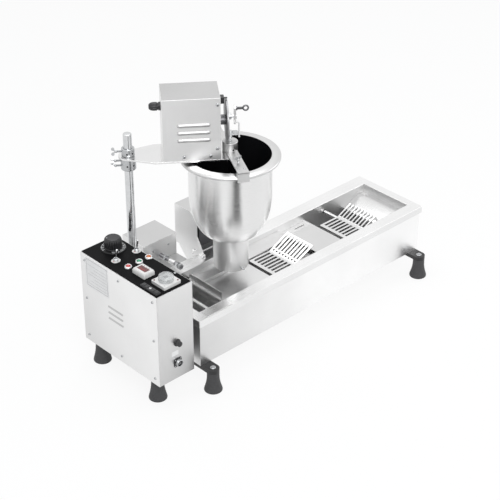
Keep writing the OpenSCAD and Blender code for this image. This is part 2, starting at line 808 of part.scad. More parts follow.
motor_w = 40;
motor_front = 20;
motor_back = 8;
motor_h = 42;
module drive_motor() color(grey) placed() difference() {
  block([link_x - motor_w / 2, cover_y0 + motor_front, tank_top],
    [link_x + motor_w / 2, cover_y1 - motor_back, tank_top + motor_h]);
  translate([link_x, cover_y0 + motor_front - over, link_z]) bar_y(link_r + fit, motor_front);
}

link_depth = 34;
link_nut = 3;
link_nut_t = 7;
link_nut_gap = 14;
link_nut_back = 16;
module link_shaft() color(bright) placed() translate([link_x, 0, link_z]) {
  translate([0, link_y0, 0]) bar_y(link_r, cover_y0 + link_depth - link_y0);
  for (y = [link_y0, link_y0 + link_nut_gap, cover_y0 - link_nut_back])
    translate([0, y, 0]) bar_y(link_r + link_nut, link_nut_t);
}

// The hood's side outline, pulled in by w
hood_slope_y = 28;
hood_slope_z = 23;
function hood_outline(w, foot) = [[hood_y0 + w, tank_top - foot], [hood_y1 - w, tank_top - foot],
  [hood_y1 - w, hood_z1 - w], [hood_y0 + hood_slope_y + w * 0.4, hood_z1 - w],
  [hood_y0 + w, hood_z1 - hood_slope_z - w * 0.6]];
module hood_form(x, l, w, foot) translate([x, 0, 0]) rotate([90, 0, 90]) linear_extrude(l)
  polygon(hood_outline(w, foot));

hood_base = 3;
mouth_share = 0.8;
mouth_deep = 20;
web_reach = 34;
web_h = 58;
web_bolt_r = 4;
web_bolt_l = 10;
web_bolt_in = 4;
hood_wing_z = 11;
hood_wing_in = 5;
module gear_hood() color(steel) placed() {
  block([hood_x0 + hood_base, tank_y1, shelf_z], [hood_x1 - hood_base, hood_y1, tank_top]);
  gusset(hood_x0 + gusset_in, hood_d - gusset_in);
  gusset(hood_x1 - gusset_right, hood_d - gusset_in);
  difference() {
    hood_form(hood_x0, hood_l, 0, 0);
    hood_form(hood_x0 + sheet, hood_l - 2 * sheet, sheet, over);
    block([hood_x0 + sheet, hood_y0 - over, tank_top + sheet],
      [hood_x1 - sheet, hood_y0 + mouth_deep, tank_top + hood_h * mouth_share]);
  }
  translate([hood_x0, 0, tank_top]) rotate([90, 0, 90]) linear_extrude(sheet)
    polygon([[hood_y0 - web_reach, 0], [hood_y0 + over, 0], [hood_y0 + over, web_h], [hood_y0, web_h]]);
  translate([hood_x0 - web_bolt_l / 2, hood_y0 - web_reach + 2 * web_bolt_in, web_bolt_in + tank_top])
    bar_x(web_bolt_r, web_bolt_l);
  translate([hood_x0, hood_y0 + hood_wing_in, tank_top + hood_wing_z]) rotate([0, -90, 0])
    wing_screw(web_bolt_r / 2, web_bolt_r, web_bolt_l);
}

gear_side = 30;
gear_front = 24;
gear_back = 14;
gear_h = 86;
gear_eye_r = 16;
gear_eye_z = 50;
gear_eye_y = 8;
module gear_motor() color([0.25, 0.25, 0.26]) placed() {
  block([hood_x0 + gear_side, hood_y0 + gear_front, tank_top],
    [hood_x1 - gear_side, hood_y1 - gear_back, tank_top + gear_h]);
  translate([(hood_x0 + hood_x1) / 2, hood_y0 + gear_eye_y, tank_top + gear_eye_z])
    bar_y(gear_eye_r, gear_front - gear_eye_y);
}

// Post and head

post_foot_r = 22;
post_foot_t = 6;
post_bolt_in = 4.5;
post_bolt_r = 3;
module post() color(bright) placed() translate([post_x, post_y, tank_top]) {
  cylinder(r = post_r, h = post_h);
  cylinder(r = post_foot_r, h = post_foot_t);
  for (a = [45:90:315]) rotate([0, 0, a]) translate([post_foot_r - post_bolt_in, 0, post_foot_t])
    cylinder(r = post_bolt_r, h = post_bolt_r, $fn = 6);
}

module collar(r, h) difference() {
  cylinder(r = r, h = h);
  translate([0, 0, -over]) cylinder(r = post_r + fit, h = h + 2 * over);
}
upper_inset = 3;
module collar_lower() color(steel) placed() translate([post_x, post_y, plate_z0 - gap - collar_low_h])
  collar(collar_r, collar_low_h);
module collar_upper() color(steel) placed() translate([post_x, post_y, plate_z1 + gap])
  collar(collar_r - upper_inset, collar_up_h);

collar_screw_drop = [26, 11];
collar_screw_up = 12;
collar_screw_r = 3;
collar_screw_l = 12;
collar_screw_size = 14;
module collar_screws() color(bright) on_arm() {
  for (d = collar_screw_drop) translate([-collar_r, 0, plate_z0 - d]) rotate([0, -90, 0])
    wing_screw(collar_screw_r, collar_screw_l, collar_screw_size);
  translate([-collar_r + upper_inset, 0, plate_z1 + collar_screw_up]) rotate([0, -90, 0])
    wing_screw(collar_screw_r, collar_screw_l, collar_screw_size);
}

arm_end = 20;
arm_neck = 4;
arm_neck_w = 26;
arm_shoulder = 70;
arm_round = 27;
module arm_plate() color(steel) on_arm() difference() {
  translate([0, 0, plate_z0]) linear_extrude(arm_t) union() {
    polygon([[-arm_neck, -arm_neck_w], [arm_shoulder, -arm_w / 2], [hub_u + arm_end, -arm_w / 2],
      [hub_u + arm_end, arm_w / 2], [arm_shoulder, arm_w / 2], [-arm_neck, arm_neck_w]]);
    circle(r = arm_round);
  }
  translate([0, 0, plate_z0 - over]) cylinder(r = post_r + fit, h = arm_t + 2 * over);
  translate([hub_u, 0, plate_z0 - over]) cylinder(r = plunger_r + fit, h = arm_t + 2 * over);
}

motor_bore = 9;
vent_u = 40;
vent_l = 88;
vent_z_share = 0.33;
vent_pitch = 22;
vent_h = 3;
module head_housing() color(steel) on_arm() difference() {
  block([head_u0, -head_d / 2, plate_z1], [head_u1, head_d / 2, plate_z1 + head_h]);
  block([head_u0 + head_t, -head_d / 2 + head_t, plate_z1 - over],
    [head_u1 - head_t, head_d / 2 - head_t, plate_z1 + head_h - head_t]);
  translate([head_u1 - head_t - over, 0, crank_h]) bar_x(motor_bore + bore_clear, head_t + 2 * over);
  slots_x(head_u0 + vent_u, vent_l, -head_d / 2 - over, -head_d / 2 + head_t + over,
    plate_z1 + head_h * vent_z_share, 3, vent_pitch, vent_h);
}

shaft_bore = 8;
shaft_in = 28;
shaft_floor = 2;
case_back = 20;
case_front = 40;
case_w = 76;
case_up = 60;
gear_case_l = 70;
gear_case_w = 60;
gear_case_end = 6;
gear_case_up = 32;
nose_r = 14;
nose_l = 5.5;
module head_motor() color([0.3, 0.3, 0.32]) on_arm() difference() {
  union() {
    block([head_u0 + case_back, -case_w / 2, plate_z1], [head_u1 - case_front, case_w / 2, plate_z1 + case_up]);
    block([head_u1 - gear_case_l, -gear_case_w / 2, plate_z1],
      [head_u1 - gear_case_end, gear_case_w / 2, crank_h + gear_case_up]);
    translate([head_u1 - gear_case_end - over, 0, crank_h]) bar_x(nose_r, nose_l);
  }
  translate([head_u1 - shaft_in - shaft_floor, 0, crank_h]) bar_x(shaft_bore + fit, shaft_in + 2 * shaft_floor);
}

gland_v = 10;
gland_z_share = 0.75;
gland_nut_r = 13;
gland_nut_t = 5;
gland_r = 10;
gland_l = 20;
gland_cap_r = 12;
gland_end_r = 8;
gland_cap_l = 12;
module cable_gland() color(black) on_arm()
  translate([head_u0, gland_v, plate_z1 + head_h * gland_z_share]) rotate([0, -90, 0]) {
    cylinder(r = gland_nut_r, h = gland_nut_t, $fn = 6);
    cylinder(r = gland_r, h = gland_l);
    translate([0, 0, gland_l]) cylinder(r1 = gland_cap_r, r2 = gland_end_r, h = gland_cap_l);
  }

limit_w = 20;
limit_low = 8;
limit_high = 10;
limit_gap = 4;
limit_arm_w = 6;
limit_arm_t = 2;
module limit_switch() color(black) on_arm() translate([0, 0, crank_h + disc_r]) {
  block([head_u1, -limit_w / 2, -limit_low], [disc_u0 - limit_gap, limit_w / 2, limit_high]);
  block([disc_u0 - limit_gap, -limit_arm_w / 2, limit_gap],
    [disc_u0 + disc_t, limit_arm_w / 2, limit_gap + limit_arm_t]);
}

collar_out = 1.5;
pin_r = 5;
pin_over = 2;
module crank_disc() color(grey) on_arm() {
  translate([disc_u0, 0, crank_h]) bar_x(disc_r, disc_t);
  translate([head_u1 - shaft_in, 0, crank_h]) bar_x(shaft_bore, disc_u0 + over - head_u1 + shaft_in);
  translate([head_u1 + collar_out, 0, crank_h]) bar_x(nose_r, disc_u0 - head_u1 - collar_out);
  translate([disc_u1 - over, 0, crank_h + crank_r])
    bar_x(pin_r, rod_plane + rod_t + pin_over - disc_u1 + over);
}

link_top = 32;
link_bottom = 24;
link_w = 16;
eye_drop = 9;
eye_shank = 4;
eye_l = 20;
eye_ring = 7;
eye_wire = 2.2;
wire_up = 6;
pin_z = crank_h + crank_r;
bend_z = pin_z - link_bottom + wire_up;
module connecting_rod() color(bright) on_arm() difference() {
  union() {
    block([rod_plane, -link_w / 2, pin_z - link_bottom], [rod_plane + rod_t, link_w / 2, pin_z + link_top]);
    translate([rod_plane + rod_t - over, 0, pin_z + link_top - eye_drop]) bar_x(eye_shank, eye_l);
    translate([rod_plane + rod_t + eye_l + eye_ring - over, 0, pin_z + link_top - eye_drop]) rotate([90, 0, 0])
      rotate_extrude() translate([eye_ring, 0]) circle(r = eye_wire, $fn = soft_fn);
    translate([rod_plane + rod_t - over, 0, bend_z]) bar_x(wire_r, wire_u - rod_plane - rod_t + over);
    translate([wire_u, 0, wire_z]) cylinder(r = wire_r, h = bend_z - wire_z);
    translate([wire_u, 0, bend_z]) sphere(r = wire_r);
  }
  translate([rod_plane - over, 0, pin_z]) bar_x(pin_r + fit, rod_t + 2 * over);
}

piston_fit = 0.6;
piston_r = inner_r - piston_fit;
piston_t = 22;
piston_up = 30;
piston_z = nozzle_z + piston_up + stroke;
rod_top = 4;
cross_w = 18;
cross_in = 6;
module plunger() color(bright) on_arm() {
  translate([hub_u, 0, piston_z]) cylinder(r = plunger_r, h = cross_z + cross_t + rod_top - piston_z);
  translate([hub_u, 0, piston_z]) cylinder(r = piston_r, h = piston_t);
  block([hub_u - cross_in, -cross_w / 2, cross_z],
    [wire_u - wire_r - wire_clear, cross_w / 2, cross_z + cross_t]);
}

module guide_hub() color(bright) on_arm() translate([hub_u, 0, plate_z1]) difference() {
  cylinder(r = hub_radius, h = hub_h);
  translate([0, 0, -over]) cylinder(r = plunger_r + fit, h = hub_h + 2 * over);
}

// Half outline of the hopper from its rim down to its nozzle, pulled in by w
bowl_turn = 10;
function bowl(w) = concat(
  [[hopper_r - w, rim_z], [hopper_r - w, neck_z + hopper_round]],
  [for (a = [bowl_turn:bowl_turn:90 - bowl_turn])
    [nozzle_r + (hopper_r - nozzle_r - w) * cos(a), neck_z + hopper_round - (hopper_round - w) * sin(a)]],
  [[nozzle_r - w, neck_z + w], [nozzle_r - w, nozzle_z]]);
function backwards(list) = [for (i = [len(list) - 1:-1:0]) list[i]];

rim_t = 3;
rim_drop = 10;
rim_slope = 3;
nozzle_screw_z = 12;
nozzle_screw_r = 3;
nozzle_screw_l = 7;
nozzle_screw_size = 12;
nozzle_screw_yaws = [-62, 118];
module hopper() color(steel) on_arm() translate([hub_u, 0, 0]) {
  rotate_extrude() polygon(concat(bowl(0), backwards(bowl(hopper_t))));
  rotate_extrude() polygon([[hopper_r - hopper_t, rim_z - rim_t], [rim_r - rim_t, rim_z - rim_slope - rim_t],
    [rim_r - rim_t, rim_z - rim_drop], [rim_r, rim_z - rim_drop], [rim_r, rim_z - rim_slope],
    [hopper_r - hopper_t, rim_z]]);
  for (a = nozzle_screw_yaws) rotate([0, 0, a])
    translate([nozzle_r - hopper_t / 2, 0, nozzle_z + nozzle_screw_z]) rotate([0, 90, 0])
      wing_screw(nozzle_screw_r, nozzle_screw_l, nozzle_screw_size);
}

hub_clear = 0.1;
hook_reach = 16;
hook_down = 14;
clamp_share = 0.62;
clamp_l = 6;
clamp_size = 13;
rear_width = 24;
rear_start = 24;

// A flat bar from start out to the rim, with a hook over it and a pad on it
module hopper_bar(width, start, top) {
  block([-width / 2, -rim_r - bar_t, top - bar_t], [width / 2, -start, top]);
  block([-width / 2, -rim_r - bar_t, rim_z - hook_down], [width / 2, -rim_r, top - bar_t]);
  block([-width / 2, -rim_r, rim_z], [width / 2, -rim_r + hook_reach, top - bar_t]);
}
module hopper_bars() color(bright) on_arm() translate([hub_u, 0, 0]) {
  rotate([0, 0, bar_yaw]) {
    difference() {
      hopper_bar(bar_width, 0, plate_z1 + bar_t);
      translate([0, 0, plate_z1 - over]) cylinder(r = hub_radius + hub_clear, h = bar_t + 2 * over);
    }
    translate([0, -rim_r * clamp_share, plate_z1 + bar_t])
      wing_screw(nozzle_screw_r, clamp_l, clamp_size);
  }
  rotate([0, 0, 180 + bar_yaw]) hopper_bar(rear_width, rear_start, plate_z0);
}

control_box_shell();
control_box_cover();
control_panel();
thermostat_body();
thermostat_skirt();
thermostat_knob();
toggle_switch_bases();
toggle_lever_left();
toggle_lever_right();
lamp_bezels();
lamp_lens_red();
lamp_lens_green();
lamp_lens_orange();
counter_case();
counter_window();
timer_body();
timer_dial();
relay_socket();
contactor();
fuse_holder();
power_socket();
sheet_screws();
rubber_feet();
foot_bars();
box_brackets();
tank_casing();
tank_rim();
oil_pan();
heater_elements();
deck_left();
deck_middle();
channel_ledge();
divider_plate();
rim_clip();
exit_slide();
shaft_bearings();
flipper_one();
flipper_two();
push_rod();
rear_shelf();
drive_cover();
drive_motor();
link_shaft();
gear_hood();
gear_motor();
post();
collar_lower();
collar_upper();
collar_screws();
arm_plate();
head_housing();
head_motor();
cable_gland();
limit_switch();
crank_disc();
connecting_rod();
plunger();
guide_hub();
hopper();
hopper_bars();
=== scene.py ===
import json
from math import acos, atan2, cos, pi, radians, sin, sqrt, tau

import bmesh
import bpy
from mathutils import Matrix, Vector


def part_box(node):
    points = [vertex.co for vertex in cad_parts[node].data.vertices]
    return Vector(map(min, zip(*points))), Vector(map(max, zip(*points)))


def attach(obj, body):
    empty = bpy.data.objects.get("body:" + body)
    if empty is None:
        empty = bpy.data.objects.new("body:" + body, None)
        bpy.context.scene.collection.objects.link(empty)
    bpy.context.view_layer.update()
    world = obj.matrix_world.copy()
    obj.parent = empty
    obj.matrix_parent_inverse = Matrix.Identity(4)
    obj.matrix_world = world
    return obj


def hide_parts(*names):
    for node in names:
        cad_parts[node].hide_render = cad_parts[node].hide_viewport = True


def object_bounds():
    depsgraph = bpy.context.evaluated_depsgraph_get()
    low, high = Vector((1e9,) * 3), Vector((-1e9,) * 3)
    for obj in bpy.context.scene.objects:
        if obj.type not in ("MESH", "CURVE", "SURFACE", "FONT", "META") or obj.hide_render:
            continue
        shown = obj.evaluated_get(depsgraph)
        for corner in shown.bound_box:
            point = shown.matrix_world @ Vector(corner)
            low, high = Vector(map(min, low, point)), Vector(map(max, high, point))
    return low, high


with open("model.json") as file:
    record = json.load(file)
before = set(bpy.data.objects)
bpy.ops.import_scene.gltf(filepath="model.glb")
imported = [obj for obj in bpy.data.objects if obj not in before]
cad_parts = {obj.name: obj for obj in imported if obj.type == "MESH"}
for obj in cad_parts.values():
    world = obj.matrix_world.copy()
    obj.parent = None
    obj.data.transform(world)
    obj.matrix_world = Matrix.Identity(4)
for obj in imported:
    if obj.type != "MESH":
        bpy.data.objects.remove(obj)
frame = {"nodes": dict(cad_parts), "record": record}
cad_low, cad_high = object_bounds()
nodes = frame["nodes"]

# Lengths are written in millimetres and turned into metres by these two frames:
# SHOP has x along the trough and y from front to back, ARM has u from the post
# along the arm and v to the back
MM = 0.001
RIM_LEFT_X, RIM_FRONT_Y = 140, -8
rim_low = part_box("tank_rim")[0]
shift = Vector((rim_low.x - RIM_LEFT_X * MM, rim_low.y - RIM_FRONT_Y * MM, 0))
joints = {j["name"]: j for j in frame["record"]["behaviour"]["joints"]}
post_at = Vector(joints["head_swing"]["pos_m"])
arm_way = Vector(joints["crank_turn"]["axis"])
SHOP = Matrix.Translation(shift) @ Matrix.Scale(MM, 4)
ARM_TURN = Matrix.Rotation(atan2(arm_way.y, arm_way.x), 4, "Z")
ARM = Matrix.Translation((post_at.x, post_at.y, 0)) @ ARM_TURN @ Matrix.Scale(MM, 4)


def quarter(axis, degrees):
    return Matrix.Rotation(radians(degrees), 4, axis)


def around(degrees):
    return quarter("Z", degrees)


# Turns that lay a part built along z onto the other ways
TO_FRONT = quarter("X", 90)
TO_BACK = quarter("X", -90)
TO_LEFT = quarter("Y", -90)
TO_RIGHT = quarter("Y", 90)


def put(x, y, z, turn=None):
    place = Matrix.Translation((x, y, z))
    return place @ turn if turn else place


def body_of(node):
    bodies = frame["record"]["behaviour"]["bodies"]
    return next(body for body, members in bodies.items() if node in members)


def welded(node):
    bm = bmesh.new()
    bm.from_mesh(nodes[node].data)
    bmesh.ops.remove_doubles(bm, verts=bm.verts, dist=0.01 * MM)
    return bm


def islands(node, base=SHOP):
    """The lowest and highest corner of each separate solid of a CAD node."""
    bm = welded(node)
    inverse = base.inverted()
    seen, found = set(), []
    for start in bm.verts:
        if start in seen:
            continue
        group, queue = [], [start]
        seen.add(start)
        while queue:
            vert = queue.pop()
            group.append(inverse @ vert.co)
            for edge in vert.link_edges:
                other = edge.other_vert(vert)
                if other not in seen:
                    seen.add(other)
                    queue.append(other)
        found.append([Vector([pick(p[i] for p in group) for i in range(3)]) for pick in (min, max)])
    bm.free()
    return sorted(found, key=lambda pair: tuple(round(c, 1) for c in pair[0]))


def linked(name, data):
    """A new object in the scene."""
    obj = bpy.data.objects.new(name, data)
    bpy.context.collection.objects.link(obj)
    return obj


# Materials

# Noise scales across and along the lines of brushed and turned steel, per metre,
# and the depth of those lines in metres
ACROSS_LINES, ALONG_LINES, LINE_DEPTH = 1600, 8, 0.00002


def socket(node, name, value):
    node.inputs[name].default_value = value


class Material:
    """A node material with a Principled shader and a few helpers to feed it."""

    def __init__(self, name, color, metallic=0.0, rough=0.5):
        self.mat = bpy.data.materials.new(name)
        self.mat.use_nodes = True
        self.nodes = self.mat.node_tree.nodes
        self.links = self.mat.node_tree.links
        self.shader = self.nodes["Principled BSDF"]
        socket(self.shader, "Base Color", (*color, 1))
        socket(self.shader, "Metallic", metallic)
        socket(self.shader, "Roughness", rough)
        self.coords = self.nodes.new("ShaderNodeTexCoord")

    def new(self, kind, **values):
        node = self.nodes.new(kind)
        for name, value in values.items():
            if name in node.inputs:
                socket(node, name, value)
            else:
                setattr(node, name, value)
        return node

    def noise(self, scale, detail, rough, stretch=(1, 1, 1)):
        """Noise over the object's own coordinates, stretched along its axes."""
        place = self.new("ShaderNodeMapping")
        socket(place, "Scale", stretch)
        self.links.new(self.coords.outputs["Object"], place.inputs["Vector"])
        tex = self.new("ShaderNodeTexNoise", Scale=scale, Detail=detail, Roughness=rough)
        self.links.new(place.outputs["Vector"], tex.inputs["Vector"])
        return tex.outputs["Fac"]

    def along(self, start, end):
        """0 at the first point and 1 at the second, both in SHOP millimetres."""
        low, high = SHOP @ Vector(start), SHOP @ Vector(end)
        way = high - low
        dot = self.new("ShaderNodeVectorMath", operation="DOT_PRODUCT")
        self.links.new(self.coords.outputs["Object"], dot.inputs[0])
        dot.inputs[1].default_value = way / way.length_squared
        offset = low.dot(way) / way.length_squared
        return self.remap(dot.outputs["Value"], 0, 1, offset, offset + 1)

    def remap(self, value, low, high, start=0.3, end=0.7):
        span = {"From Min": start, "From Max": end, "To Min": low, "To Max": high}
        node = self.new("ShaderNodeMapRange", **span)
        self.links.new(value, node.inputs["Value"])
        return node.outputs["Result"]

    def ramp(self, value, *stops):
        """Grey or coloured stops, each (place, tone)."""
        node = self.new("ShaderNodeValToRGB")
        marks = node.color_ramp.elements
        while len(marks) < len(stops):
            marks.new(0.5)
        for mark, stop in zip(marks, stops):
            mark.position = stop[0]
        for mark, stop in zip(marks, stops):
            tone = stop[1] if hasattr(stop[1], "__len__") else [stop[1]] * 3
            mark.color = (*tone, 1)
        self.links.new(value, node.inputs["Fac"])
        return node.outputs["Color"]

    def clouds(self, tone):
        """A grey that varies softly over the hand-sized areas of a sheet."""
        return self.ramp(self.noise(6, 4, 0.5), (0.3, tone * 0.95), (0.7, tone * 1.02))

    def product(self, one, two):
        node = self.new("ShaderNodeMix", data_type="RGBA", blend_type="MULTIPLY")
        node.inputs[0].default_value = 1.0
        self.links.new(one, node.inputs[6])
        self.links.new(two, node.inputs[7])
        return node.outputs[2]

    def feed(self, name, output):
        self.links.new(output, self.shader.inputs[name])

    def bump(self, value, depth, strength):
        node = self.new("ShaderNodeBump", Distance=depth, Strength=strength)
        self.links.new(value, node.inputs["Height"])
        self.links.new(node.outputs["Normal"], self.shader.inputs["Normal"])


def brushed(name, tone, rough, along, streaks=1.0, painted_shade=None):
    """Brushed stainless steel with its brush lines along one axis. The last
    argument is a start point, an end point and the tones between them: shade and
    reflection of its dark neighbours painted into the colour, so the sheet darkens from one end to the
    other."""
    fine = [ACROSS_LINES] * 3
    fine["xyz".index(along)] = ALONG_LINES
    m = Material("steel_" + name, (tone, tone, tone), 1.0, rough)
    lines = m.noise(1, 3, 0.7, fine)
    m.feed("Roughness", m.remap(lines, rough - 0.05 * streaks, rough + 0.07 * streaks))
    color = m.clouds(tone)
    if painted_shade:
        color = m.product(color, m.ramp(m.along(painted_shade[0], painted_shade[1]), *painted_shade[2:]))
    m.feed("Base Color", color)
    m.bump(lines, LINE_DEPTH * streaks, 0.45)
    return m.mat


def spun(name, tone, rough):
    """Steel turned on a lathe: its fine rings stretch reflections along z."""
    m = Material("steel_" + name, (tone, tone, tone), 1.0, rough)
    rings = m.noise(1, 3, 0.7, (ALONG_LINES, ALONG_LINES, ACROSS_LINES))
    m.feed("Roughness", m.remap(rings, rough - 0.01, rough + 0.02))
    m.feed("Base Color", m.clouds(tone))
    socket(m.shader, "Anisotropic", 0.85)
    socket(m.shader, "Anisotropic Rotation", 0.25)
    tangent = m.new("ShaderNodeTangent", direction_type="RADIAL", axis="Z")
    m.feed("Tangent", tangent.outputs["Tangent"])
    return m.mat


def plain_metal(name, color, rough, grain=60, depth=0.0):
    m = Material(name, color, 1.0, rough)
    spots = m.noise(grain, 5, 0.6)
    m.feed("Roughness", m.remap(spots, rough * 0.8, rough * 1.3))
    m.feed("Base Color", m.ramp(spots, (0.3, [c * 0.86 for c in color]), (0.7, color)))
    if depth:
        m.bump(m.noise(grain * 12, 3, 0.6), depth, 0.5)
    return m.mat


def plastic(name, color, rough, grain=900, depth=0.00004, coat=0.0, shine=0.5):
    m = Material(name, color, 0.0, rough)
    wear = m.noise(14, 4, 0.6)
    m.feed("Roughness", m.remap(wear, rough - 0.05, rough + 0.08))
    m.feed("Base Color", m.ramp(wear, (0.3, [c * 0.9 for c in color]), (0.7, color)))
    m.bump(m.noise(grain, 3, 0.6), depth, 0.4)
    socket(m.shader, "Coat Weight", coat)
    socket(m.shader, "Specular IOR Level", shine)
    return m.mat


def glassy(name, color, rough, alpha=1.0, cells=700):
    """A clear or tinted moulding with a fine pattern under its skin."""
    m = Material(name, color, 0.0, rough)
    tex = m.new("ShaderNodeTexVoronoi", Scale=cells)
    m.links.new(m.coords.outputs["Object"], tex.inputs["Vector"])
    dark = [c * 0.7 for c in color]
    m.feed("Base Color", m.ramp(tex.outputs["Distance"], (0.1, dark), (0.8, color)))
    m.bump(tex.outputs["Distance"], 0.0002, 0.3)
    socket(m.shader, "Coat Weight", 1.0)
    socket(m.shader, "Alpha", alpha)
    return m.mat


# Shades of the sheets that darken along their length: painted shade and reflection of their dark
# neighbours in the colour
BOX_PAINTED_SHADE = ((124, 0, 75), (0, 0, 330), (0.0, 0.66), (0.5, 0.88), (1.0, 1.0))
COVER_PAINTED_SHADE = ((0, 323, 90), (0, 60, 300), (0.0, 0.80), (0.55, 0.95), (1.0, 1.0))
CASING_PAINTED_SHADE = ((145, 0, 75), (560, 0, 205), (0.0, 0.72), (1.0, 1.0))
DECK_PAINTED_SHADE = ((330, 209, 200), (380, 28, 200), (0.0, 0.74), (0.6, 0.9), (1.0, 1.0))

steel_x = brushed("brushed_x", 0.70, 0.30, "x")
steel_y = brushed("brushed_y", 0.76, 0.32, "y")
steel_z = brushed("brushed_z", 0.80, 0.32, "z")
steel_box = brushed("box_front", 0.84, 0.34, "z", painted_shade=BOX_PAINTED_SHADE)
steel_cover = brushed("box_cover", 0.88, 0.36, "z", painted_shade=COVER_PAINTED_SHADE)
# A darker copy of the steel for the louvers' sloping faces: painted shade
steel_louver_shaded = brushed("louver", 0.56, 0.36, "y")
steel_casing = brushed("trough_side", 0.97, 0.32, "x", painted_shade=CASING_PAINTED_SHADE)
steel_rim = brushed("trough_rim", 0.86, 0.28, "x", 0.7)
steel_pan = brushed("pan", 0.74, 0.42, "x", 0.8)
steel_deck = brushed("deck", 0.76, 0.34, "y", 0.6, DECK_PAINTED_SHADE)
steel_exit = brushed("exit", 0.72, 0.20, "y", 0.6)
steel_bright = brushed("bright", 0.80, 0.20, "x", 0.6)
steel_head = brushed("head", 0.84, 0.44, "z", 0.8)
# Darker copies of the steel for the level faces of the head, the rear boxes and the hopper bars: painted
# shade
steel_head_shaded_top = brushed("head_top", 0.50, 0.36, "x", 0.8)
steel_shaded_level = brushed("level", 0.58, 0.32, "x", 0.8)
steel_hub = brushed("hub", 0.56, 0.30, "z", 0.8)
steel_hopper = spun("hopper", 0.80, 0.26)
steel_nozzle = brushed("nozzle", 0.72, 0.42, "z", 0.8)
steel_lip = brushed("lip", 0.64, 0.30, "x", 0.4)
chrome = plain_metal("chrome", (0.70, 0.71, 0.72), 0.12)
bezel_bright = plain_metal("bezel_bright", (0.86, 0.87, 0.88), 0.24, 120)
zinc = plain_metal("zinc_plated", (0.52, 0.53, 0.54), 0.26, 120)
cast_grey = plain_metal("cast_grey", (0.36, 0.36, 0.37), 0.42, 60, 0.0001)
disc_grey = plain_metal("disc_grey", (0.30, 0.30, 0.31), 0.44, 90, 0.00005)
dark_iron = plain_metal("dark_iron", (0.09, 0.09, 0.095), 0.45)
# Dark steel for threads, shafts and nuts, and for the cross slots of screw heads, where it is painted
# shade
thread_dark = plain_metal("thread_dark", (0.20, 0.20, 0.21), 0.35)
panel_black = plastic("panel_black", (0.005, 0.005, 0.0055), 0.42, shine=0.05)
knob_black = plastic("knob_black", (0.024, 0.024, 0.026), 0.30)
skirt_black = plastic("skirt_black", (0.010, 0.010, 0.011), 0.36, shine=0.3)
mould_grey = plastic("moulded_grey", (0.045, 0.046, 0.048), 0.45)
rubber = plastic("rubber_grey", (0.050, 0.050, 0.052), 0.62, 400, 0.0002)
bar_black = plastic("bar_black", (0.014, 0.014, 0.015), 0.35)
case_white = plastic("case_white", (0.78, 0.78, 0.77), 0.30, coat=0.2)
label_pale = plastic("label_pale", (0.86, 0.86, 0.86), 0.45)
mark_silver = plastic("mark_silver", (0.86, 0.87, 0.88), 0.4)
mark_grey = plastic("mark_grey", (0.22, 0.22, 0.23), 0.4)
rule_grey = plastic("rule_grey", (0.42, 0.42, 0.42), 0.45)
# Near black for print, and for the insides of holes, slots and the hopper, where it is painted shade
shade_and_print_black = plastic("inside_black", (0.006, 0.006, 0.007), 0.30)
red_paint = plastic("red_paint", (0.45, 0.02, 0.02), 0.35)
red_screw = plastic("screw_red", (0.16, 0.012, 0.010), 0.35)
lens_red = glassy("lens_red", (0.62, 0.012, 0.012), 0.12)
lens_green = glassy("lens_green", (0.005, 0.30, 0.15), 0.12)
lens_orange = glassy("lens_orange", (0.66, 0.16, 0.012), 0.12)
display_red = glassy("display_red", (0.14, 0.006, 0.006), 0.18)
digit_red = plastic("digit_red", (0.36, 0.03, 0.03), 0.3)
dial_clear = glassy("dial_clear", (0.80, 0.82, 0.82), 0.08, 0.32, 90)
dial_face = plastic("dial_face", (0.66, 0.67, 0.67), 0.4)


# Parts, built in millimetres around their own origin

# A corner is rounded unless it is nearly straight or has a side shorter than this
NEARLY_STRAIGHT, SHORTEST_SIDE, CORNER_SHARE = radians(172), 0.01, 0.45
THREAD_ROOT, THREAD_PITCH = 0.86, 1.6
SHARP_EDGE = radians(30)


def arc(x, y, r, start, end, steps):
    """Points along a circle round x and y, from one angle to another in radians."""
    angles = [start + (end - start) * i / steps for i in range(steps + 1)]
    return [(x + r * cos(a), y + r * sin(a)) for a in angles]


def circle(r, steps):
    """Points round a full circle, with the first one given once."""
    return arc(0, 0, r, 0, tau, steps)[:-1]


def rounded(points, radius, steps=3, closed=False):
    """An outline with its corners rounded."""
    out, last = [], len(points) - 1
    for i, point in enumerate(points):
        here = Vector(point)
        before, after = Vector(points[i - 1]) - here, Vector(points[(i + 1) % len(points)]) - here
        plain = (not closed and i in (0, last)) or min(before.length, after.length) < SHORTEST_SIDE
        if plain or before.angle(after) > NEARLY_STRAIGHT:
            out.append(tuple(here))
            continue
        cut = min(radius, before.length * CORNER_SHARE, after.length * CORNER_SHARE)
        start, end = here + before.normalized() * cut, here + after.normalized() * cut
        for k in range(steps + 1):
            t = k / steps
            out.append(tuple(start * (1 - t) ** 2 + here * 2 * t * (1 - t) + end * t * t))
    return out


def plate(low, high, radius, steps=3):
    """A rectangle with rounded corners, between two corners in x and y."""
    corners = [(low[0], low[1]), (high[0], low[1]), (high[0], high[1]), (low[0], high[1])]
    return rounded(corners, radius, steps, True)


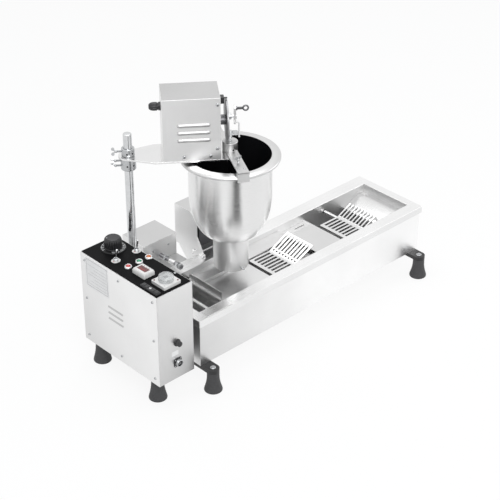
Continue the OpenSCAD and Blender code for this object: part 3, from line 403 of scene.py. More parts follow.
def lathe(profile, steps, ring=False, flutes=0, bite=0.0, marks=None):
    """Turns (radius, height) points round z. Flutes bite into the outline where
    a point's height is within marks. With ring, the outline closes on itself."""
    bm = bmesh.new()
    rings = []
    for r, z in profile:
        if r <= 0:
            rings.append([bm.verts.new((0, 0, z))])
            continue
        row = []
        for i in range(steps):
            a = tau * i / steps
            cut = 0.0
            if flutes and marks[0] <= z <= marks[1]:
                cut = bite * max(0.0, cos(flutes * a)) ** 0.7
            row.append(bm.verts.new(((r - cut) * cos(a), (r - cut) * sin(a), z)))
        rings.append(row)
    pairs = list(zip(rings, rings[1:])) + ([(rings[-1], rings[0])] if ring else [])
    for low, high in pairs:
        for i in range(steps):
            j = (i + 1) % steps
            corners = [low[i % len(low)], low[j % len(low)], high[j % len(high)], high[i % len(high)]]
            corners = list(dict.fromkeys(corners))
            if len(corners) > 2:
                bm.faces.new(corners)
    return bm


def disc(r, z0, z1, steps=24, soft=0.0):
    """A round along z, with its edges rounded by soft."""
    profile = [(0, z0), (r, z0), (r, z1), (0, z1)]
    return lathe(rounded(profile, soft) if soft else profile, steps)


def washer(bore, r, z0, z1, soft, steps=36):
    """A ring along z with rounded edges."""
    return lathe(rounded([(bore, z0), (r, z0), (r, z1), (bore, z1)], soft, 3, True), steps, ring=True)


def bevel_sharp(bm, width, segments=2):
    edges = [e for e in bm.edges if len(e.link_faces) == 2 and e.calc_face_angle(0) > SHARP_EDGE]
    bmesh.ops.bevel(bm, geom=edges, offset=width, segments=segments, profile=0.5,
                    affect="EDGES", clamp_overlap=True)


def loft(levels):
    """A closed solid through (outline, z) levels whose outlines have as many points."""
    bm = bmesh.new()
    rows = [[bm.verts.new((x, y, z)) for x, y in outline] for outline, z in levels]
    bm.faces.new(rows[0][::-1])
    bm.faces.new(rows[-1])
    for low, high in zip(rows, rows[1:]):
        for i in range(len(low)):
            j = (i + 1) % len(low)
            bm.faces.new([low[i], low[j], high[j], high[i]])
    return bm


def prism(outline, z0, z1, soft=0.4, segments=2):
    """An outline in x and y, raised from z0 to z1, with its edges rounded."""
    bm = loft([(outline, z0), (outline, z1)])
    if soft:
        bevel_sharp(bm, soft, segments)
    return bm


def slab(low, high, soft=0.4, segments=2):
    (x0, y0, z0), (x1, y1, z1) = low, high
    return prism([(x0, y0), (x1, y0), (x1, y1), (x0, y1)], z0, z1, soft, segments)


def hexagon(r, z0, z1):
    """A nut or bolt head whose corners are chamfered."""
    return prism(circle(r, 6), z0, z1, min(r * 0.14, (z1 - z0) * 0.3))


def tube(points, r, steps):
    """A round bar that follows points, with closed ends."""
    path = [Vector(p) for p in points]
    bm = bmesh.new()
    rings = []
    side = path[1] - path[0]
    side = side.orthogonal()
    for i, p in enumerate(path):
        way = (path[min(i + 1, len(path) - 1)] - path[max(i - 1, 0)]).normalized()
        side = (side - way * side.dot(way)).normalized()
        other = way.cross(side)
        rings.append([bm.verts.new(p + side * x + other * y) for x, y in circle(r, steps)])
    for low, high in zip(rings, rings[1:]):
        for k in range(steps):
            j = (k + 1) % steps
            bm.faces.new([low[k], low[j], high[j], high[k]])
    bm.faces.new(rings[0][::-1])
    bm.faces.new(rings[-1])
    return bm


def letters(text, size, depth):
    curve = bpy.data.curves.new("letters", "FONT")
    curve.body = text
    curve.size = size
    curve.extrude = depth
    curve.resolution_u = 3
    curve.align_x = "CENTER"
    curve.align_y = "CENTER"
    holder = linked("letters", curve)
    shaped = holder.evaluated_get(bpy.context.evaluated_depsgraph_get())
    mesh = bpy.data.meshes.new_from_object(shaped)
    bm = bmesh.new()
    bm.from_mesh(mesh)
    bpy.data.objects.remove(holder)
    bpy.data.meshes.remove(mesh)
    return bm


def thread(r, z0, z1):
    """The ridges of a screw thread."""
    count = max(1, round((z1 - z0) / THREAD_PITCH))
    step = (z1 - z0) / count
    points = [(0, z0), (r * THREAD_ROOT, z0)]
    for i in range(count):
        points += [(r, z0 + (i + 0.5) * step), (r * THREAD_ROOT, z0 + (i + 1) * step)]
    return lathe(points + [(0, z1)], 24)


def louver(length, height, out):
    """A pressed louver along x: a half bulge with rounded ends, open below."""
    across, down, low_turn, end_share = 36, 8, 0.12, 0.75
    bm = bmesh.new()
    rows = []
    for i in range(across + 1):
        x = length * i / across
        near = min(x, length - x)
        swell = sqrt(max(0.0, 1 - (1 - min(1.0, near / (height * end_share))) ** 2))
        row = []
        for j in range(down + 1):
            y = -height / 2 * swell + height * swell * j / down * 0.96
            bulge = sin(pi * (low_turn + (1 - low_turn) * j / down)) ** 0.8
            row.append(bm.verts.new((x, y, out * swell * bulge)))
        rows.append(row)
    for left, right in zip(rows, rows[1:]):
        for j in range(down):
            bm.faces.new([left[j], right[j], right[j + 1], left[j + 1]])
    bmesh.ops.remove_doubles(bm, verts=bm.verts, dist=0.02)
    bmesh.ops.dissolve_degenerate(bm, edges=bm.edges, dist=0.02)
    bmesh.ops.solidify(bm, geom=bm.faces[:], thickness=0.5)
    return bm


class Piece:
    """One visible piece, gathered from parts, that rides on a CAD body."""

    def __init__(self, name, body, *stands_for, base=SHOP):
        self.name, self.body, self.stands_for, self.base = name, body, stands_for, base
        self.bm = bmesh.new()
        self.materials = []

    def add(self, part, material, place=Matrix()):
        if material not in self.materials:
            self.materials.append(material)
        bmesh.ops.recalc_face_normals(part, faces=part.faces)
        part.transform(self.base @ place)
        for face in part.faces:
            face.material_index = self.materials.index(material)
        mesh = bpy.data.meshes.new("part")
        part.to_mesh(mesh)
        part.free()
        self.bm.from_mesh(mesh)
        bpy.data.meshes.remove(mesh)

    def turned(self, profile, soft, steps, material, place, closed=False, **flutes):
        """Adds a lathed outline with its corners rounded by soft."""
        outline = rounded(profile, soft, 3, closed) if soft else profile
        self.add(lathe(outline, steps, closed, **flutes), material, place)

    def screw(self, place, r, h, material=zinc):
        """A cross-recessed pan head. Its recess is two dark slabs: painted shade, not a cut."""
        profile = [(0, 0), (r, 0), (r, h * 0.35), (r * 0.72, h * 0.85), (0, h)]
        self.turned(profile, r * 0.3, 24, material, place)
        for turn in (0, 90):
            slot = slab((-r * 0.52, -r * 0.1, h * 0.72), (r * 0.52, r * 0.1, h * 1.01), 0)
            self.add(slot, thread_dark, place @ around(turn))

    def wing(self, place, r, l, size):
        """A wing screw along z: threaded shank, hub and two ears."""
        self.add(thread(r, 0, l), zinc, place)
        hub = [(0, l), (size * 0.34, l), (size * 0.24, l + size * 0.5), (0, l + size * 0.55)]
        self.turned(hub, size * 0.1, 24, zinc, place)
        ear = [(size * 0.34 * x * (1 + 0.35 * y), size * (0.62 + 0.42 * y)) for x, y in circle(1, 20)]
        for tilt in (-52, 52):
            turn = quarter("Y", tilt) @ quarter("X", 90)
            flat = prism(ear, -size * 0.1, size * 0.1, size * 0.05)
            self.add(flat, zinc, place @ put(0, 0, l + size * 0.42, turn))

    def sockets(self, place, r, angles):
        """Dark discs for the sockets of grub screws round a turned part: painted shade in the holes."""
        for angle in angles:
            there = place @ around(angle) @ put(r - 0.12, 0, 0, TO_RIGHT)
            self.add(disc(2.6, 0, 0.25, 20), shade_and_print_black, there)

    def done(self, smooth=35):
        mesh = bpy.data.meshes.new(self.name)
        self.bm.to_mesh(mesh)
        self.bm.free()
        obj = linked(self.name, mesh)
        for material in self.materials:
            mesh.materials.append(material)
        for face in mesh.polygons:
            face.use_smooth = True
        mesh.set_sharp_from_angle(angle=radians(smooth))
        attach(obj, self.body)
        if self.stands_for:
            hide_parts(*self.stands_for)
        return obj


def stand_in(node, *others, name=None, base=SHOP):
    """A piece that stands for a CAD node, and for others on the same body."""
    return Piece(name or node + "_finished", body_of(node), node, *others, base=base)


def soften(node, material, width=0.5, top=None):
    """A copy of a CAD node with its bent edges rounded, which stands for the
    node. Top is another finish for its level faces: a darker copy of the
    steel, painted shade."""
    bm = welded(node)
    bmesh.ops.dissolve_limit(bm, angle_limit=radians(1), verts=bm.verts, edges=bm.edges)
    bevel_sharp(bm, width * MM)
    piece = stand_in(node, base=Matrix())
    piece.add(bm, material)
    obj = piece.done()
    if top:
        obj.data.materials.append(top)
        for face in obj.data.polygons:
            if face.normal.z > 0.95:
                face.material_index = 1
    flat = obj.modifiers.new("flat_faces", "WEIGHTED_NORMAL")
    flat.keep_sharp = True
    flat.weight = 100
    return obj


def measured(node, *others, **settings):
    """A stand-in, with the centre and the two far corners of its first solid."""
    piece = stand_in(node, *others, **settings)
    low, high = islands(node, piece.base)[0]
    return piece, (low + high) / 2, low, high


def dress(node, material):
    """Keeps a CAD node's own shape and gives it a finish."""
    data = nodes[node].data
    data.materials.clear()
    data.materials.append(material)


def standing(low, high):
    """The middle of a solid's foot."""
    return put((low.x + high.x) / 2, (low.y + high.y) / 2, low.z)


# Control box

for hidden in ("thermostat_body", "contactor", "drive_motor", "head_motor", "heater_elements",
               "shaft_bearings"):
    dress(hidden, cast_grey)
soften("control_box_shell", steel_box, 0.9)
sheet = soften("control_box_cover", steel_cover, 0.5)
soften("control_panel", panel_black, 0.4)
soften("box_brackets", steel_x, 0.5)

# The louvers pressed into the side cover are the sloping faces away from its edges. They take a darker
# copy of the steel: painted shade.
LOUVERS_LOW, LOUVERS_HIGH, COVER_DEPTH = 100, 300, 2
sheet.data.materials.append(steel_louver_shaded)
to_shop = SHOP.inverted()
for face in sheet.data.polygons:
    at = to_shop @ face.center
    sloping = abs(face.normal.z) > 0.12 and face.normal.x < 0.2
    if sloping and at.x < COVER_DEPTH and LOUVERS_LOW < at.z < LOUVERS_HIGH:
        face.material_index = 1

# Plain labels: on the side cover with a frame and blank rules, drawn in z and y,
# and on the front of the box, drawn in x and z
COVER_FACE = -0.1
LABEL_BACK, LABEL_FACE, RULE_FACE = -0.3, 0.5, 0.6
LABEL_LOW, LABEL_HIGH, LABEL_INSET = (264, 203), (357, 301), 4
RULE_PITCH, RULE_T, FRAME_T = 10, 0.6, 1
on_cover = put(COVER_FACE, 0, 0, TO_LEFT)
label = Piece("side_label", body_of("control_box_cover"))
label.add(prism(plate(LABEL_LOW, LABEL_HIGH, 2), LABEL_BACK, LABEL_FACE, 0.1), label_pale, on_cover)
z0, y0 = [c + LABEL_INSET for c in LABEL_LOW]
z1, y1 = [c - LABEL_INSET for c in LABEL_HIGH]
strips = [(z1 - FRAME_T, y0, z1, y1), (z0, y0, z0 + FRAME_T, y1),
          (z0, y0, z1, y0 + FRAME_T), (z0, y1 - FRAME_T, z1, y1)]
for i in range(7):
    rule_z = z0 + 8 + RULE_PITCH * i
    strips.append((rule_z, y0 + 4, rule_z + RULE_T, y1 - 4 - 14 * (i % 3)))
for za, ya, zb, yb in strips:
    label.add(slab((za, ya, 0.3), (zb, yb, RULE_FACE), 0), rule_grey, on_cover)
label.done()

front_label = Piece("front_label", body_of("control_box_shell"))
front_label.add(prism(plate((45, 153), (69, 167), 1), LABEL_BACK, LABEL_FACE, 0.1), label_pale, TO_FRONT)
front_label.done()

# Screws of the sheets. Of the panel's four small ones, two across from each
# other are red.
PANEL_FRONT_Y, PANEL_MID_X, SMALL_SCREW = 30, 60, 6
screws = stand_in("sheet_screws")
for low, high in islands("sheet_screws"):
    size = high - low
    centre = (low + high) / 2
    if size.x < size.y * 0.7:
        screws.screw(put(high.x, centre.y, centre.z, TO_LEFT), size.y / 2, size.x)
    elif size.y < size.x * 0.7:
        screws.screw(put(centre.x, high.y, centre.z, TO_FRONT), size.x / 2, size.y)
    elif size.x < SMALL_SCREW:
        red = (centre.y < PANEL_FRONT_Y) == (centre.x > PANEL_MID_X)
        screws.screw(standing(low, high), size.x / 2, size.z, red_screw if red else case_white)
    else:
        screws.screw(standing(low, high) @ around(30), size.x / 2, size.z)
screws.done()

# Thermostat: skirt with its marks, and the fluted knob

PANEL_TOP = 364
TICKS, NUMBERS, SWEEP, FIRST_TICK, FIRST_NUMBER = 45, 13, 300, -130, 170
skirt, dial, low, high = measured("thermostat_skirt")
skirt_r, skirt_top = (high.x - low.x) / 2, high.z
skirt_at = put(dial.x, dial.y, 0)
profile = [(0, PANEL_TOP + 0.3), (skirt_r - 0.4, PANEL_TOP + 0.3), (skirt_r, PANEL_TOP + 1.2),
           (skirt_r - 2.4, skirt_top), (0, skirt_top)]
skirt.turned(profile, 0.7, 96, skirt_black, skirt_at)
skirt.add(disc(3, low.z, PANEL_TOP + 1), zinc, skirt_at)
for i in range(TICKS):
    inner, half = (skirt_r - 5.6, 0.8) if i % 4 == 0 else (skirt_r - 4.8, 0.45)
    tick = slab((inner, -half, skirt_top - 0.4), (skirt_r - 2.0, half, skirt_top + 0.16), 0)
    skirt.add(tick, mark_silver, skirt_at @ around(FIRST_TICK + SWEEP * i / (TICKS - 1)))
for i in range(NUMBERS):
    turn = around(FIRST_NUMBER - SWEEP * i / (NUMBERS - 1))
    there = put(dial.x, dial.y, skirt_top + 0.05) @ turn @ put(skirt_r - 7.8, 0, 0, around(-90))
    skirt.add(letters(str(25 * i), 5.8, 0.12), mark_silver, there)
skirt.done()

knob, centre, low, high = measured("thermostat_knob")
r, h = (high.x - low.x) / 2, high.z - low.z
profile = [(0, 0), (r, 0), (r, 2.6), (r - 0.8, 3.2), (r - 1.4, h - 8), (r - 3.6, h - 3), (r - 8, h),
           (r - 9.5, h - 1.2), (0, h - 1.2)]
knob.turned(profile, 2.4, 216, knob_black, standing(low, high), flutes=24, bite=2.5, marks=(3.1, h - 1.8))
knob.add(slab((-0.8, r - 10.4, -2.4), (0.8, r - 7.6, 0.0), 0.2), mark_silver,
         put(centre.x, centre.y, high.z - 0.1, around(62)))
knob.done(50)

# Toggle switches: a seat with a threaded neck and nut, and a tipped lever

NECK, NECK_CREST, NECK_BORE = 5.7, 6.3, 4.2
for low, high in islands("toggle_switch_bases"):
    side = "left" if low.x < PANEL_MID_X else "right"
    seat = stand_in("toggle_switch_bases", name="toggle_seat_" + side)
    here = standing(low, high)
    w, c = (high.x - low.x) / 2 - 0.4, 5.6
    l = (high.y - low.y) / 2 - 0.1
    outline = [(-w, -c), (-c, -l), (c, -l), (w, -c), (w, c), (c, l), (-c, l), (-w, c)]
    seat.add(prism(rounded(outline, 2, 3, True), 0, 1.2, 0.3), case_white, here)
    seat.add(letters("ON", 3.4, 0.06), mark_grey, here @ put(0, -8.6, 1.25))
    seat.add(letters("OFF", 3.4, 0.06), mark_grey, here @ put(0, 8.6, 1.25))
    seat.add(slab((-9.2, -2.6, 1.1), (-7.6, 2.6, 1.35), 0.1), red_paint, here)
    seat.add(hexagon(8.2, 1.2, 3.6), chrome, here @ around(12))
    neck = [(NECK_BORE, 3.2), (NECK, 3.2), (NECK, 5.0)]
    neck += [(NECK if i % 2 else NECK_CREST, 5.4 + 0.5 * i) for i in range(6)]
    neck += [(6.1, 8.4), (5.6, 9.0), (4.9, 9.0), (NECK_BORE, 7.6)]
    seat.turned(neck, 0, 36, chrome, here, True)
    # A dark disc in the neck's bore: painted shade
    seat.add(disc(4.3, 3.3, 3.7), shade_and_print_black, here)
    seat.done()

TILT, LEVER, LEVER_Y, LEVER_Z = 12, 34, 215.1, PANEL_TOP + 4
for node_name in ("toggle_lever_left", "toggle_lever_right"):
    lever, centre, low, high = measured(node_name)
    profile = [(0, -2.9), (1.8, -2.4), (2.8, -0.9), (2.8, 0.9), (1.9, 2.2), (1.6, 4)]
    profile += [(1.8 + 1.1 * (i / 6) ** 1.4, 4 + (LEVER - 4) * i / 6) for i in range(1, 7)]
    profile += [(2.5, LEVER + 1.6), (1.4, LEVER + 2.5), (0, LEVER + 2.8)]
    lever.turned(profile, 0, 28, bezel_bright, put(centre.x, LEVER_Y, LEVER_Z, quarter("X", TILT)))
    lever.done(60)

# Lamps: bright bezels, wider than the CAD's, and domed lenses

BEZEL_WIDER, BEZEL_BORE, DOME = 1.8, 6.6, 3.6
bezels = stand_in("lamp_bezels")
for low, high in islands("lamp_bezels"):
    r, h = (high.x - low.x) / 2 + BEZEL_WIDER, high.z - low.z
    profile = [(BEZEL_BORE, 0), (r, 0), (r, 2.0), (r - 1.4, h - 1.0), (r - 2.6, h), (BEZEL_BORE, h - 0.8)]
    bezels.turned(profile, 0.8, 48, bezel_bright, standing(low, high), True)
bezels.done()
for color, finish in (("red", lens_red), ("green", lens_green), ("orange", lens_orange)):
    lens, centre, low, high = measured("lamp_lens_" + color)
    r, h = (high.x - low.x) / 2, high.z - low.z - 0.1
    profile = [(0, 0), (r, 0), (r, h - DOME)]
    for a in [radians(10 * i) for i in range(1, 9)]:
        profile.append((r * cos(a), h - DOME + DOME * sin(a)))
    lens.turned(profile + [(0, h)], 0, 48, finish, standing(low, high))
    lens.done(60)

# Counter: a white case with sloping sides, a dark red window and three buttons

counter, centre, low, high = measured("counter_case", "counter_window", name="counter_finished")
foot = plate(low, high, 2.5, 4)


def drawn_in(x_share, y_share):
    return [(centre.x + (x - centre.x) * x_share, centre.y + (y - centre.y) * y_share) for x, y in foot]


counter.add(loft([(foot, low.z), (foot, high.z - 5), (drawn_in(0.88, 0.91), high.z - 0.6),
                  (drawn_in(0.85, 0.88), high.z)]), case_white)
window = slab((low.x + 10, low.y + 7.5, high.z - 0.5), (high.x - 10, high.y - 7.5, high.z + 0.02), 0.3)
counter.add(window, display_red)
bar = slab((low.x + 21, low.y + 9, high.z - 0.4), (low.x + 22, high.y - 9, high.z + 0.05), 0)
counter.add(bar, shade_and_print_black)
there = put(low.x + 15.4, centre.y, high.z + 0.05, around(90))
counter.add(letters("0000", 9.5, 0.05), digit_red, there)
for k in (-1, 0, 1):
    there = put(high.x - 7, centre.y + 9 * k, high.z - 0.25)
    counter.turned([(0, 0), (1.7, 0), (1.7, 0.4), (0, 0.5)], 0.2, 20, mark_grey, there)
counter.done()

# Timer: a white plate, and a dial face under a clear turning cap

timer, centre, low, high = measured("timer_body", name="timer_plate_finished")
turner, centre, face_low, face_high = measured("timer_dial")
r = (face_high.x - face_low.x) / 2
top = high.z
timer.add(prism(plate(low, high, 2.5, 4), low.z, top - 0.1, 0.8, 3), case_white)
profile = [(r + 0.4, top - 0.2), (r + 1.6, top - 0.2), (r + 1.4, top + 0.2), (r + 0.5, top + 0.2)]
timer.turned(profile, 0, 64, label_pale, put(centre.x, centre.y, 0), True)
timer.add(slab((low.x + 3, low.y + 14, top - 0.3), (low.x + 9, low.y + 22, top + 0.1), 0.2), label_pale)
timer.done()

STEM, CAP_WALL = 5.3, 0.9
here = put(centre.x, centre.y, face_low.z + STEM)
top = face_high.z - face_low.z - STEM
turner.add(disc(3.9, -STEM, 0.2), mark_grey, here)
turner.add(disc(r - 1, 0, 2, 64, 0.3), dial_face, here)
turner.turned([(r - 6, 2), (r - 6, 7), (r - 8, 9), (0, 9)], 1.2, 64, dial_face, here)
turner.turned([(0, 9), (6, 9), (5.6, 11), (0, 11.4)], 0.6, 32, mark_grey, here)
turner.add(slab((-0.8, 2, 9), (0.8, r - 8.5, 9.7), 0.2), shade_and_print_black, here @ around(20))
for i in range(36):
    tick = slab((r - (4.6 if i % 3 else 5.4), -0.2, 1.9), (r - 2.6, 0.2, 2.1), 0)
    turner.add(tick, shade_and_print_black, here @ around(10 * i))
cap = [(r, 0.1), (r, top - 3.2), (r - 2.6, top), (0, top), (0, top - CAP_WALL), (r - 3, top - CAP_WALL),
       (r - CAP_WALL, top - 3.4), (r - CAP_WALL, 0.1)]
turner.turned(cap, 1.0, 72, dial_clear, here)
turner.done()

# Relay strip: two pairs of blocks with a screw between them

BLOCK_PITCH = 12.6
relay, centre, low, high = measured("relay_socket", name="relay_strip_finished")
relay.add(slab(low, (high.x, high.y, low.z + 5), 0.6), mould_grey)
for i in (0, 1, 3, 4):
    y = low.y + 3 + i * BLOCK_PITCH
    relay.add(slab((low.x + 1.5, y, low.z + 4.6), (high.x - 1.5, y + 10, low.z + 6.8), 0.5), mould_grey)
    # Dark slabs for the blocks' slots: painted shade
    slot = slab((centre.x - 4.5, y + 4.4, low.z + 6.5), (centre.x + 4.5, y + 5.6, low.z + 6.95), 0)
    relay.add(slot, shade_and_print_black)
relay.screw(put(centre.x, centre.y, low.z + 5), 3.4, 2.6, label_pale)
relay.done()

# Fuse holder and power socket, built away from the box's front

fuse, centre, low, high = measured("fuse_holder")
here = put(centre.x, high.y, centre.z, TO_FRONT)
profile = [(0, 0), (11, 0), (11, 2.2), (9.6, 3.2), (8, 3.2), (8, 12.6), (6.8, 14), (0, 14)]
fuse.turned(profile, 0.7, 96, knob_black, here, flutes=16, bite=0.7, marks=(3.6, 12.8))
# A dark slab for the cap's slot: painted shade
fuse.add(slab((-5.4, -0.8, 13.2), (5.4, 0.8, 14.02), 0), shade_and_print_black, here @ around(38))
fuse.done(45)

FLANGE, FLANGE_SCREW = 13, 9.6
inlet, centre, low, high = measured("power_socket")
here = put(centre.x, high.y, centre.z, TO_FRONT)
inlet.add(prism(plate((-FLANGE, -FLANGE), (FLANGE, FLANGE), 4, 4), 0, 2, 0.4), knob_black, here)
for x in (-FLANGE_SCREW, FLANGE_SCREW):
    for y in (-FLANGE_SCREW, FLANGE_SCREW):
        inlet.screw(here @ put(x, y, 2), 1.9, 1.1)
profile = [(8, 2), (11, 2), (11, 10.6), (10.2, 12), (8.6, 12), (8, 11)]
inlet.turned(profile, 0.5, 64, zinc, here, True)
# A dark disc at the floor of the socket: painted shade
inlet.add(disc(8.05, 3.8, 4.4, 32), shade_and_print_black, here)
inlet.add(disc(6.6, 4.2, 9, 40, 0.5), knob_black, here)
for turn in (90, 210, 330):
    inlet.add(disc(1.0, 9, 9.4, 14), chrome, here @ around(turn) @ put(3.5, 0, 0))
inlet.add(slab((-1.2, 6.4, 4.2), (1.2, 8.1, 10), 0.2), knob_black, here)
inlet.done()

# Feet: flared rubber with fine ridges up to the collar

RIDGES, FLARE_Z, WAIST_SHARE = 12, 6.6, 0.68
feet = stand_in("rubber_feet")
for low, high in islands("rubber_feet"):
    centre = (low + high) / 2
    r, top = (high.x - low.x) / 2, high.z
    waist = r * WAIST_SHARE
    profile = [(0, 0.6), (r * 0.5, 0.6), (r * 0.6, 0), (r - 2.2, 0), (r, 2), (r, 5.4), (r - 0.7, FLARE_Z)]
    for i in range(1, RIDGES + 1):
        t = i / RIDGES
        ridge = 0.15 if i % 2 else -0.3
        profile.append((waist + (r - waist) * (1 - t) ** 2 + ridge, FLARE_Z + (top * 0.8 - FLARE_Z) * t))
    profile += [(waist - 0.4, top * 0.82), (waist, top * 0.85), (waist, top - 0.8), (waist - 0.8, top),
                (0, top)]
    feet.add(lathe(rounded(profile, 0.9, 2), 56), rubber, put(centre.x, centre.y, 0))
feet.done(50)

# Foot bars: round-ended strips with a washer and bolt at each end

BAR_HEIGHT = 12
bars = stand_in("foot_bars")
for low, high in islands("foot_bars"):
    x, w = (low.x + high.x) / 2, (high.x - low.x) / 2
    bar_top = low.z + BAR_HEIGHT
    outline = arc(x, low.y + w, w, pi, tau, 20) + arc(x, high.y - w, w, 0, pi, 20)
    bars.add(prism(outline, low.z, bar_top, 0.8), bar_black)
    for y in (low.y + w, high.y - w):
        bars.add(disc(8.2, 0, 1.1, 36, 0.3), zinc, put(x, y, bar_top - 0.05))
        bars.add(hexagon(5.4, 1.0, 4.0), zinc, put(x, y, bar_top - 0.05, around(20)))
bars.done()

# Trough, flippers and rear boxes

for node_name, finish, width in (
        ("tank_casing", steel_casing, 0.9), ("tank_rim", steel_rim, 0.9),
        ("oil_pan", steel_pan, 0.6), ("deck_left", steel_deck, 0.5),
        ("deck_middle", steel_exit, 0.5), ("channel_ledge", steel_x, 0.5),
        ("divider_plate", steel_bright, 0.4), ("rim_clip", steel_bright, 0.4),
        ("exit_slide", steel_exit, 0.5), ("flipper_one", steel_bright, 0.35),
        ("flipper_two", steel_bright, 0.35), ("push_rod", steel_x, 0.5)):
    soften(node_name, finish, width)
# The tops of the shelf, the drive cover and the hood take the darker level steel: painted shade
soften("rear_shelf", steel_rim, 0.8, top=steel_shaded_level)
soften("drive_cover", steel_y, 0.9, top=steel_shaded_level)
soften("gear_hood", steel_z, 0.8, top=steel_shaded_level)
dress("gear_motor", dark_iron)

# Link shaft: a threaded end, a grey sleeve, three nuts with washers

NUT_T, WASHER_T = 6.5, 1.3
link, centre, low, high = measured("link_shaft")
here = put(centre.x, low.y, centre.z, TO_BACK)
length = high.y - low.y
link.add(thread(4.6, 0, 26), thread_dark, here)
link.add(disc(6, 24, length, 36, 0.8), disc_grey, here)
for y, turn in ((3, 0), (14, 20), (length - 62, 8)):
    link.add(hexagon(9, y, y + NUT_T), zinc, here @ around(turn))
    link.add(disc(8.8, y + NUT_T, y + NUT_T + WASHER_T, 36, 0.3), zinc, here)
link.add(washer(5, 7.6, 30, 52, 0.6), steel_y, here)
link.done()

# Post, collars and their screws

POST_R, FLANGE_R, FLANGE_T = 12, 22, 6
post = stand_in("post", base=ARM)
solids = islands("post", ARM)
foot_z = min(low.z for low, high in solids)
head_z = max(high.z for low, high in solids)
profile = [(0, foot_z), (FLANGE_R, foot_z), (FLANGE_R, foot_z + 5), (20.6, foot_z + FLANGE_T),
           (13.6, foot_z + FLANGE_T), (POST_R, foot_z + 7.6), (POST_R, head_z - 1.6), (10.4, head_z),
           (0, head_z)]
post.turned(profile, 0.8, 72, chrome, Matrix())
for low, high in solids:
    if high.x - low.x < POST_R:
        bolt = (low + high) / 2
        post.add(hexagon(3.4, 0, 2.6), zinc, put(bolt.x, bolt.y, foot_z + FLANGE_T))
post.done()

COLLAR_BORE = 12.05
for node_name in ("collar_lower", "collar_upper"):
    collar, centre, low, high = measured(node_name, base=ARM)
    r, h = (high.x - low.x) / 2, high.z - low.z
    profile = [(COLLAR_BORE, 0), (r - 1.2, 0), (r, 1.2), (r, h - 1.2), (r - 1.2, h), (COLLAR_BORE, h)]
    collar.turned(profile, 0.6, 72, zinc, put(0, 0, low.z), True)
    collar.sockets(put(0, 0, low.z + h * 0.42), r, (-100, -48))
    collar.done()

clamp = stand_in("collar_screws", base=ARM)
PLATE_LOW, PLATE_TOP = [corner.z for corner in islands("arm_plate", ARM)[0]]
for r, z, turn in ((21, PLATE_LOW - 26, 35), (21, PLATE_LOW - 11, 75), (18, PLATE_TOP + 12, 15)):
    clamp.wing(put(-r, 0, z, TO_LEFT) @ around(turn), 3, 12, 12.5)
clamp.done()

# Arm plate and head, with three louvers and the screws of its cover

soften("arm_plate", steel_bright, 0.8)
# The head's level faces take a darker copy of its steel: painted shade
soften("head_housing", steel_head, 1.0, top=steel_head_shaded_top)
soften("limit_switch", knob_black, 0.4)
low, high = islands("head_housing", ARM)[0]
VENT_U, VENT_LENGTH, VENT_H, VENT_PITCH = low.x + 38, 92, 12, 22
VENT_Z = low.z + (high.z - low.z) * 0.33 + 2
SCREW_LOW, SCREW_TOP = low.z + 12, high.z - 19
head = Piece("head_details", body_of("head_housing"), base=ARM)
# The head's louvers take the same darker steel: painted shade
for i in range(3):
    vent = louver(VENT_LENGTH, VENT_H, 4.2)
    head.add(vent, steel_louver_shaded, put(VENT_U, low.y + 0.2, VENT_Z + VENT_PITCH * i, TO_FRONT))
for inset, z in ((8, SCREW_TOP), (9.4, low.z + 33.6), (28.2, SCREW_LOW), (99.1, SCREW_LOW)):
    head.screw(put(high.x - inset, low.y, z, TO_FRONT), 5.2, 3.4)
for z in (SCREW_LOW, SCREW_TOP):
    for u in (low.x + 20, high.x - 16):
        head.screw(put(u, high.y, z, TO_BACK), 4.2, 2.8)
head.done(50)

gland, centre, low, high = measured("cable_gland", base=ARM)
here = put(high.x, centre.y, centre.z, TO_LEFT)
gland.add(hexagon(13, 0, 5), knob_black, here)
gland.add(disc(10, 5, 9, 48, 0.5), knob_black, here)
profile = [(0, 9), (11.8, 9), (11.8, 20), (10.4, 26), (7.6, 30.6), (4.4, 31.8), (0, 31.8)]
gland.turned(profile, 1.6, 144, knob_black, here, flutes=12, bite=0.9, marks=(9.5, 26.5))
gland.done(50)

# Crank disc with its shaft, collar, nut and pin

CRANK_Z, CRANK_THROW, DISC_U, DISC_T = 703, 9, 265.5, 5
crank, centre, low, high = measured("crank_disc", base=ARM)
r = (high.z - low.z) / 2
here = put(DISC_U, 0, CRANK_Z, TO_RIGHT)
crank.add(disc(r - 0.8, 0, 0.6, 96, 0.2), disc_grey, here)
edge = [(r - 5, 0.4), (r - 0.6, 0.1), (r, 0.8), (r, 4.3), (r - 0.7, DISC_T), (r - 5, DISC_T)]
crank.turned(edge, 0.4, 96, cast_grey, here)
crank.turned([(r - 4.8, DISC_T), (0, DISC_T)], 0, 96, disc_grey, here)
shaft = [(0, -45.5), (8, -45.5), (8, -16.1), (8.2, -16), (13.6, -16), (14, -15), (14, -1), (13.4, 0),
         (0, 0)]
crank.turned(shaft, 0.7, 64, thread_dark, here)
crank.add(hexagon(8, DISC_T, 9), zinc, here @ around(10))
at_pin = here @ put(-CRANK_THROW, 0, 0)
crank.turned([(0, 4.9), (5, 4.9), (5, 28.4), (4, 29.4), (0, 29.4)], 0.6, 32, chrome, at_pin)
crank.turned([(0, 4.9), (9, 4.9), (9, 14.5), (5, 16), (0, 16)], 0.6, 40, zinc, at_pin)
crank.done()

# Connecting rod: a round-ended bar, its eye bolt and the bent wire to the plunger

